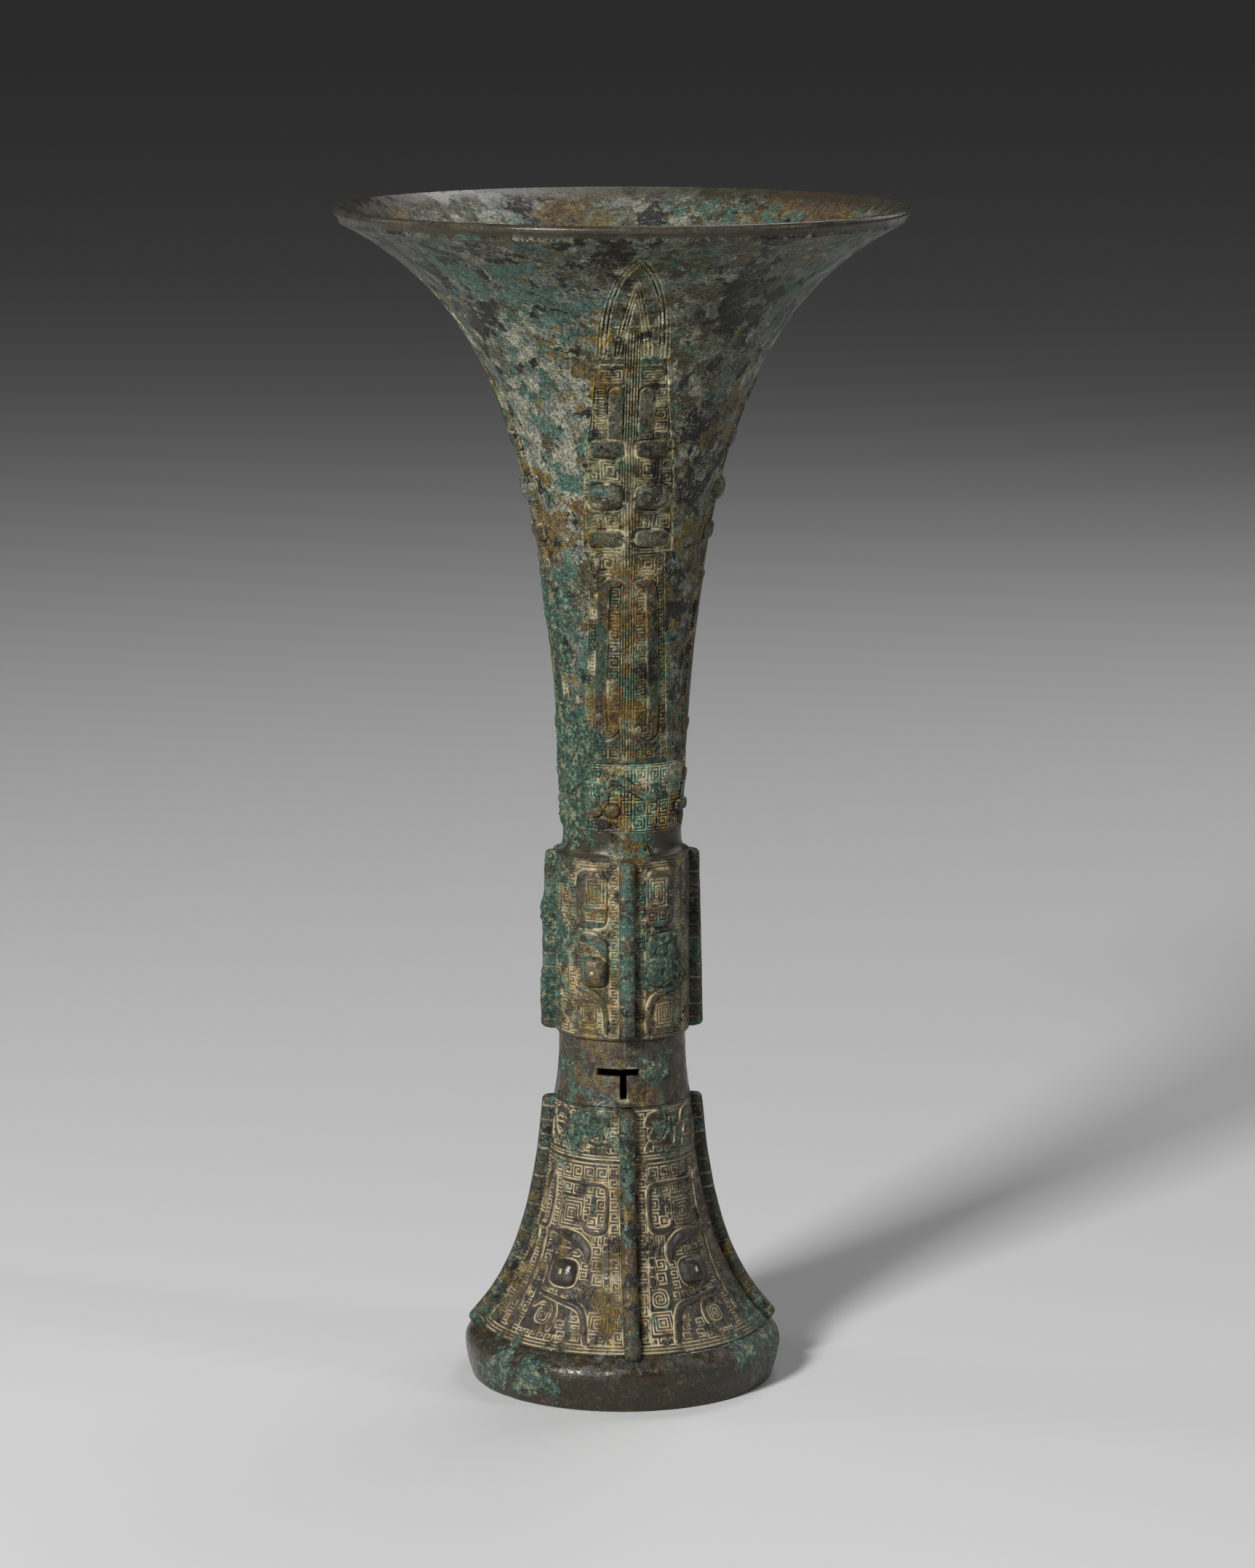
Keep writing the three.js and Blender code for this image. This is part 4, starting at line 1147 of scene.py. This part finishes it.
def build_throat():
    turn = np.radians(np.linspace(-72, 125, 14))
    across, up = LIP_RADIUS * np.cos(turn), LIP_RADIUS * np.sin(turn)
    bore = bore_of(throat)
    fillet_top = KNOP_TOP + NECK_FILLET
    fillet_end = (throat.radius(fillet_top), fillet_top)
    fillet = bezier((KNOP_RADIUS - 0.4, KNOP_TOP), (NECK_RADIUS, KNOP_TOP + 0.3), fillet_end)
    outline = np.concatenate([
        resample(fillet, 0.5)[:-1],
        resample(throat.points[throat.z > fillet_top], 1.05),
        np.stack([RIM_RADIUS - LIP_RADIUS + across, RIM_TOP - LIP_RADIUS + up], 1),
        resample(bore[4:60], 1.2),
        resample(bore[60:], 3.5)[1:],
    ])
    lathe("throat_wall", outline, 340, THROAT_FINISH, "trumpet_mouth", under_plates, polished_throat)
    angle, z = np.meshgrid(np.linspace(-np.pi / 4, np.pi / 4, 150), throat.heights(BAND_LOW, BAND_HIGH, 100))
    quarter = Carving(band_wall, angle, z, *FINE)
    carve_serpent(quarter)
    for face, turn in FACES.items():
        carved_plate(f"throat_band_{face}", band_wall, angle, z, quarter, turn, THROAT_FINISH,
                     ["trumpet_mouth"], ease=0.1)


def build_blades():
    z = throat.heights(BLADE_LOW, BLADE_HIGH, 640)[:, None]
    angle = (blade_half(z) + BLADE_MARGIN) / throat.radius(z) * np.linspace(0, 1, 71)
    half = Carving(throat, angle, z + 0 * angle, *FINE)
    carve_blade(half)
    inside = 1 - smooth(-0.3, 0.3, np.abs(angle) * throat.radius(z) - blade_half(z))
    half.ground = inside * (1 - 0.8 * smooth(*BLADE_FADE, z))
    grid = np.hstack([-angle[:, :0:-1], angle])
    heights = z + 0 * grid
    whole = Carving(throat, grid, heights)
    for layer in Carving.LAYERS:
        part = getattr(half, layer).reshape(angle.shape)
        setattr(whole, layer, np.hstack([part[:, :0:-1], part]))
    for face, turn in FACES.items():
        carved_plate(f"blade_plate_{face}", throat, grid, heights, whole, turn, THROAT_FINISH,
                     [f"blade_{face}"], shine=0.2, strips=4)


def mask_grid(wall, low, high, rows, columns):
    """A grid over a quarter of a wall, from inside one flange to inside the next."""
    z = wall.heights(low + PLATE_GAP, high - PLATE_GAP, rows)[:, None]
    start = 0.8 * FLANGE_HALF / wall.radius(z)
    angle = start + (np.pi / 2 - 2 * start) * np.linspace(0, 1, columns)
    return angle, z + 0 * angle


def build_masks():
    knop_grid = mask_grid(knop_wall, COLLAR_TOP, KNOP_TOP, 300, 172)
    knop = Carving(knop_wall, *knop_grid, *FINE)
    carve_knop(knop)
    foot_grid = mask_grid(skirt, RING_TOP, SKIRT_TOP, 310, 310)
    foot = Carving(skirt, *foot_grid)
    carve_foot(foot)
    foot.pen, foot.pitch = FINE[:2]
    carve_dragons(foot)
    for face in MASK_FACES:
        for hand, side in HANDS.items():
            for kind, wall, grid, carving, ease, shine, finish in (
                ("knop", knop_wall, knop_grid, knop, 0.45, 0.25, KNOP_CARVED),
                ("foot", skirt, foot_grid, foot, 0.3, 0.5, FOOT_CARVED),
            ):
                members = [f"{kind}_{member}_{face}_{hand}" for member in ("horn", "brow", "jaw")]
                carved_plate(f"{kind}_panel_{face}_{hand}", wall, *grid, carving, FACES[face], finish,
                             members, side, ease, shine)


def build_cores():
    """Plain walls under the carved plates of the knop and the foot."""
    core, neck_bore, knop_bore = KNOP_RADIUS - CORE_SINK, NECK_RADIUS - WALL, KNOP_RADIUS - WALL
    low, high = COLLAR_TOP + CORE_GAP, KNOP_TOP - CORE_GAP
    knop_core = np.concatenate([
        resample([(core, low), (core, high)], 3),
        [(neck_bore, high), (neck_bore, KNOP_TOP - 2.5)],
        resample([(knop_bore, KNOP_TOP - 4.5), (knop_bore, low)], 4),
    ])
    lathe("knop_core", knop_core, 96, FOOT_CARVED, "knop_sleeve")
    skirt_core = np.concatenate([
        resample(skirt.points - (CORE_SINK * 1.4, 0), 2),
        resample(bore_of(skirt), 1.5),
    ])
    lathe("foot_core", skirt_core, 180, FOOT_CARVED, "foot_skirt")


def build_ring():
    """The standing ring: a sloping shoulder, a side that draws in, and a narrow standing edge."""
    side, foot = RING_RADIUS, RING_RADIUS - RING_TAPER
    inner, bore = (foot - RING_INSET, 0), (bore_of(skirt)[-1][0], RING_TOP - CORE_GAP)
    stand, heel, bulge = (foot - RING_CORNER, 0), (foot, RING_CORNER), (side, RING_SIDE)
    shoulder = (side - RING_SHOULDER[0], RING_SHOULDER[1])
    stretches = (
        ([inner, stand], 0.9),
        (bezier(stand, (foot, 0), heel, steps=12), 0.4),
        (bezier(heel, (side, 6.0), bulge, steps=20), 0.55),
        (bezier(bulge, (side, 10.9), shoulder, steps=12), 0.4),
        ([shoulder, (FLARE_RADIUS, RING_TOP), bore], 0.6),
        ([bore, inner], 1.5),
    )
    outline = np.concatenate([resample(points, step)[:-1] for points, step in stretches])
    lathe("standing_ring", outline, 420, PLAIN_FINISH, "foot_ring", polish=polished_ring)


# The collar, pierced by a T slot front and back: each part's lower edge, and its half width and
# middle in degrees
SLOT_BAR = (SKIRT_TOP + 7.95, 20.0, -8.0)
SLOT_STEM = (SKIRT_TOP + 2.0, 3.4, -3.0)
SLOT_HIGH = SKIRT_TOP + 10.05
# Mould marks: a seam over the slot and faint squares under it, as (aside, low, high, pen)
COLLAR_MARKS = ((-0.7, 86.2, 93.4, 0.55), (5.2, 77.0, 84.0, THIN_PEN), (-6.6, 77.4, 84.0, THIN_PEN))
COLLAR_ROW = 0.3
COLLAR_COLUMNS = 360
COLLAR_SHINE = 0.3


def past_slot(angle, z):
    """Distances of places on the collar from the nearest slot, 0 inside it."""
    gaps = []
    for low, half, middle in (SLOT_BAR, SLOT_STEM):
        off = np.abs(folded(angle - math.radians(middle), 2))
        wide = np.maximum(off - math.radians(half), 0) * collar_wall.radius(z)
        gaps.append(np.hypot(wide, np.maximum(np.maximum(low - z, z - SLOT_HIGH), 0)))
    return np.minimum(*gaps)


def edge_walls(quads, start):
    """Quads from the open edges of a sheet to its copy, whose points begin at start."""
    a, b = quads.ravel(), np.roll(quads, -1, axis=1).ravel()
    alone = ~np.isin(a * start + b, b * start + a)
    a, b = a[alone], b[alone]
    return np.stack([b, a, a + start, b + start], 1)


def build_collar():
    levels = (SKIRT_TOP, SLOT_STEM[0], SLOT_BAR[0], SLOT_HIGH, COLLAR_TOP)
    parts = [np.linspace(a, b, int((b - a) / COLLAR_ROW) + 2)[:-1] for a, b in zip(levels, levels[1:])]
    heights = np.append(np.concatenate(parts), COLLAR_TOP)
    rows, columns = len(heights), COLLAR_COLUMNS
    degrees = np.arange(columns) * 360 / columns
    angle, z = np.meshgrid(np.radians(degrees), heights)
    marks = Carving(collar_wall, folded(angle, 2), z)
    for mark in COLLAR_MARKS:
        marks.upright(*mark)
    marks.level(77.2, 3.4, 17.4, THIN_PEN)
    wobble = rough_noise(collar_wall.place(angle, z)[0], 2.0, 5, 3).reshape(angle.shape) - 0.5
    bent = angle + 0.012 * wobble
    points, normals = collar_wall.place(bent, z)
    tones, lumps = patina_at(points)
    lift = lumps - pits_at(points, COLLAR_PIT_DEPTH) - GROOVE_DEPTH * marks.groove
    outer = points + normals * lift[:, None]
    inner = points - normals * WALL
    inner[:, 2] = z.ravel()
    # quads round the slots, and walls along all edges between the outer and the inner side
    start = rows * columns
    middles = (heights[:-1] + heights[1:]) / 2
    keep = past_slot(np.radians(degrees + 180 / columns), middles[:, None]).ravel() > 0
    quads = ring_faces(rows, columns)[keep]
    walls = edge_walls(quads, start)
    across, up = np.linspace(0, 1, columns + 1), np.linspace(0, 1, rows)
    maps = [
        grid_map(across, up, (0.01, 0.01, 0.99, 0.5))[keep],
        grid_map(across, up, (0.01, 0.51, 0.99, 0.9))[keep, ::-1],
        grid_map(np.linspace(0, 1, len(walls) + 1), np.array([0.0, 1.0]), (0.01, 0.92, 0.99, 0.99)),
    ]
    # pale edges round the slots
    edge = 1 - smooth(0.1, 1.0, past_slot(angle, z) - 1.2 * wobble)
    fill = np.maximum(0.15 * marks.groove, 0.7 * edge.ravel())
    values = {"fill": fill, "polish": np.full(start, COLLAR_SHINE), **tones}
    values = {key: np.pad(value, (0, start)) for key, value in values.items()}
    points = np.concatenate([outer, inner])
    quads = np.concatenate([quads, (quads + start)[:, ::-1], walls])
    add_piece("collar_ring", points, quads, np.concatenate(maps), PLAIN_FINISH, ["collar"], **values)


# Flanges


def flange_sections(reach, half):
    """Cross-sections of a flange, one to a row, from root to root: across, out and their normals."""
    corner = np.radians(np.linspace(0, 90, 9))
    sin, cos = np.sin(corner), np.cos(corner)
    front = np.linspace(0, 1, 7)[:-1] * (half - FLANGE_CORNER)
    drop = np.linspace(0, 1, 13)[1:]
    side = reach - FLANGE_CORNER
    sections = []
    for sign, *parts in (
        (-1, front, half - FLANGE_CORNER * (1 - sin), half + 0 * drop),
        (1, reach + 0 * front, side + FLANGE_CORNER * cos, side - drop * (side + FLANGE_ROOT)),
        (-1, 0 * front, sin, 1 + 0 * drop),
        (1, 1 + 0 * front, cos, 0 * drop),
    ):
        right = np.hstack([part + 0 * reach for part in parts])
        sections.append(np.hstack([sign * right[:, :0:-1], right]))
    return sections


def score_flange(along, run, root, grooves):
    """Grooves across both sides of a flange, every third one a hook."""
    score = Carving(Sheet(), along, run[:, None] + 0 * along, FLANGE_PEN)
    edge = FLANGE_HALF - FLANGE_CORNER + 0.9
    for k in range(grooves):
        at = run[0] + (k + 0.7) * (run[-1] - run[0]) / (grooves + 0.4)
        hook = at + (0.8 if k % 3 == 1 else 0.0)
        for side in HANDS.values():
            marks = np.array([(edge, hook), (edge, at), (root, at), (root, hook)])
            score.score(marks * (side, 1))
    return score.groove


def build_flange(name, node, wall, low, high, reach, grooves, turn):
    """A scored flange with rounded ends that stands on a wall. reach is at its foot and its top."""
    begin, end = wall.length(low), wall.length(high)
    run = np.linspace(begin, end, int((end - begin) / FLANGE_ROW))
    z = wall.height(run)
    drop = rounded_ends(run, FLANGE_ENDS)[:, None]
    reaches = np.interp(run, [begin, end], reach)[:, None] - drop
    across, out, lean, face = flange_sections(reaches, FLANGE_HALF - 0.35 * drop)
    rows, columns = across.shape
    steps = np.hypot(np.diff(across, axis=1), np.diff(out, axis=1))
    along = np.concatenate([np.zeros((rows, 1)), np.cumsum(steps, axis=1)], axis=1)
    along -= along[:, columns // 2 : columns // 2 + 1]
    groove = score_flange(along, run, FLANGE_HALF + min(reach), grooves)
    heading = math.radians(turn)
    tangent = np.array([math.cos(heading), math.sin(heading), 0])
    base, outward = (part[:, None] for part in wall.place(heading + 0 * z, z))
    points = (base + out[..., None] * outward + across[..., None] * tangent).reshape(-1, 3)
    normals = (face[..., None] * outward + lean[..., None] * tangent).reshape(-1, 3)
    tones, lumps = patina_at(points)
    crust = tones["crust"]
    waves = FLANGE_WAVES * (rough_noise(points, 5.0, 91, 3) - 0.5)
    points = points + normals * (lumps + waves - FLANGE_GROOVE * groove * (1 - 0.6 * crust))[:, None]
    middle = rows // 2
    loop = np.append(along[middle], along[middle, -1] + 3.0)
    loop, up = (loop - loop[0]) / (loop[-1] - loop[0]), (run - begin) / (end - begin)
    cap_map = np.stack([0.1 + 0.02 * across[middle] / FLANGE_HALF, 0.96 + 0.01 * out[middle] / max(reach)], 1)
    quad_map = grid_map(loop, up, QUADS_BOX, 3)
    # the grooves hold earth in places and are painted dark as shade in the rest
    fill = 0.7 * groove * (1 - CRUST_COVER * crust)
    rings = points.reshape(rows, columns, 3)
    add_tube(name, rings, quad_map, cap_map, cap_map + (0.2, 0), FLANGE_FINISH, [node], fill=fill, **tones)


def build_flanges():
    kinds = {
        "knop": (knop_wall, COLLAR_TOP + 0.4, KNOP_TOP - 0.3, KNOP_REACH, 13),
        "foot": (skirt_past_end, skirt_past_end.z[0], SKIRT_TOP - 0.4, FOOT_REACH, 17),
    }
    for face, turn in FACES.items():
        for kind, sizes in kinds.items():
            build_flange(f"{kind}_fin_{face}", f"{kind}_flange_{face}", *sizes, turn)


# Eyes

EYE_SQUARENESS = 4
EYE_ROOT = 0.9
PUPIL_DEPTH = 0.45
PUPIL_SOFT = 0.12


def build_eye(name, node, wall, degrees, z, size, rise, slit, shine, finish):
    """A pillow with a sunk pupil, on a wall. slit is half the pupil's width and height."""
    share = np.append(1.02, np.linspace(1, 0.04, 40) ** 0.8)[:, None]
    phase = np.linspace(0, 2 * np.pi, 96, endpoint=False)
    c, s = np.cos(phase), np.sin(phase)
    reach = share / squared(c, s, EYE_SQUARENESS)
    x, y = reach * c * size[0] / 2, reach * s * size[1] / 2
    lift = rise * np.clip(1 - share**3.2, 0, 1) ** 0.55 + 0 * x
    lift[0] = -EYE_ROOT
    narrow, short = (np.abs(v) - half for v, half in zip((x, y), slit))
    pupil = (1 - smooth(-PUPIL_SOFT, PUPIL_SOFT, narrow)) * (1 - smooth(-PUPIL_SOFT, PUPIL_SOFT, short))
    pupil = pupil.ravel()
    level = wall.height(wall.length(z) + y)
    points, normals = wall.place(math.radians(degrees) + x / wall.radius(z), level)
    tones, lumps = patina_at(points)
    tones["crust"] *= 0.8
    lift = lift.ravel()
    moved = points + normals * (lift - PUPIL_DEPTH * pupil + 0.6 * lumps * (lift > 0))[:, None]
    flat = np.stack([x / size[0], y / size[1]], -1) * 0.9 + 0.5
    quad_map = flat.reshape(-1, 2)[ring_faces(*x.shape)]
    # the pupil, like a groove, holds earth or is painted dark as shade
    add_tube(name, moved.reshape(*x.shape, 3), quad_map, flat[0] * 0.03 + 0.005, flat[-1], finish, [node],
             fill=pupil, polish=np.full(len(moved), shine), **tones)


def build_eyes():
    kinds = {
        "blade": (throat, BLADE_EYE, (8.7, 6.1), 1.6, (0.7, 0.3), 0.3, THROAT_FINISH),
        "knop": (knop_wall, KNOP_EYE, (7.8, 8.0), 2.1, (0.45, 0.45), 0.25, KNOP_SMOOTH),
        "foot": (skirt, FOOT_EYE, (7.7, 7.0), 1.9, (0.4, 0.75), 0.45, FOOT_SMOOTH),
    }
    for face, turn in FACES.items():
        for hand, side in HANDS.items():
            for kind, (wall, (degrees, z), *sizes) in kinds.items():
                if kind == "blade" or face in MASK_FACES:
                    build_eye(f"{kind}_dome_{face}_{hand}", f"{kind}_eye_{face}_{hand}", wall,
                              turn + side * degrees, z, *sizes)


build_throat()
build_blades()
build_masks()
build_cores()
build_ring()
build_collar()
build_flanges()
build_eyes()
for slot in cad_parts["cup_floor"].material_slots:
    slot.material = mottled


# Stage: floor, lamps and camera

CAMERA_DISTANCE = 1.3578
CAMERA_HEIGHT = 0.4041
CAMERA_AZIMUTH = -4.0
CAMERA_PITCH = 10.24
CAMERA_YAW = -0.059
CAMERA_LENS = 120.85
FLOOR_HALF = 30.0
FLOOR_TONE = 0.45
WORLD_LEVEL = 0.05

# Area lamps: place, height that they aim at over the middle, size and power
LAMPS = {
    "key": ((-0.90, -1.24, 0.98), 0.16, (0.30, 0.44), 53),
    "fill": ((1.10, -0.55, 0.55), 0.17, (0.04, 0.60), 3),
    "rim": ((0.45, 0.85, 1.50), 0.18, (0.7, 0.7), 8),
    "side": ((1.30, 0.90, 0.80), 0.16, (0.9, 0.9), 5),
    "left": ((-1.35, 0.45, 0.75), 0.18, (0.25, 0.7), 3),
}


def build_floor():
    mesh = bpy.data.meshes.new("floor")
    corners = ((-1, -1, 0), (1, -1, 0), (1, 1, 0), (-1, 1, 0))
    mesh.from_pydata([Vector(corner) * FLOOR_HALF for corner in corners], [], [(0, 1, 2, 3)])
    paper = bpy.data.materials.new("pale_paper")
    paper.use_nodes = True
    shader = paper.node_tree.nodes["Principled BSDF"]
    shader.inputs["Base Color"].default_value = (FLOOR_TONE, FLOOR_TONE, FLOOR_TONE, 1)
    shader.inputs["Roughness"].default_value = 0.8
    shader.inputs["Specular IOR Level"].default_value = 0.2
    mesh.materials.append(paper)
    floor = bpy.data.objects.new("floor", mesh)
    bpy.context.collection.objects.link(floor)


def add_lamp(name, place, aim, size, power):
    data = bpy.data.lights.new(name, "AREA")
    data.shape = "RECTANGLE"
    data.size, data.size_y = size
    data.energy = power
    lamp = bpy.data.objects.new(name, data)
    lamp.location = place
    lamp.rotation_euler = (Vector((0, 0, aim)) - Vector(place)).to_track_quat("-Z", "Y").to_euler()
    bpy.context.collection.objects.link(lamp)


def build_camera():
    data = bpy.data.cameras.new("camera")
    data.lens = CAMERA_LENS
    camera = bpy.data.objects.new("camera", data)
    heading = math.radians(CAMERA_AZIMUTH)
    x, y = CAMERA_DISTANCE * math.sin(heading), -CAMERA_DISTANCE * math.cos(heading)
    camera.location = (x, y, CAMERA_HEIGHT)
    camera.rotation_euler = (math.radians(90 - CAMERA_PITCH), 0, math.radians(CAMERA_AZIMUTH + CAMERA_YAW))
    bpy.context.collection.objects.link(camera)
    bpy.context.scene.camera = camera


def build_world():
    """A dim even light. The camera, gloss and glass see it in the floor's tone."""
    world = bpy.data.worlds.new("studio")
    world.use_nodes = True
    tree = world.node_tree
    rays = tree.nodes.new("ShaderNodeLightPath").outputs
    seen = rays["Is Camera Ray"]
    for kind in ("Is Glossy Ray", "Is Transmission Ray"):
        either = tree.nodes.new("ShaderNodeMath")
        either.operation = "MAXIMUM"
        tree.links.new(seen, either.inputs[0])
        tree.links.new(rays[kind], either.inputs[1])
        seen = either.outputs[0]
    tone = tree.nodes.new("ShaderNodeMix")
    tone.inputs[2].default_value = WORLD_LEVEL
    tone.inputs[3].default_value = WORLD_LEVEL * FLOOR_TONE
    tree.links.new(seen, tone.inputs[0])
    tree.links.new(tone.outputs[0], tree.nodes["Background"].inputs["Color"])
    bpy.context.scene.world = world


build_floor()
build_camera()
build_world()
for name, settings in LAMPS.items():
    add_lamp(name, *settings)
bpy.context.scene.view_settings.view_transform = "Standard"
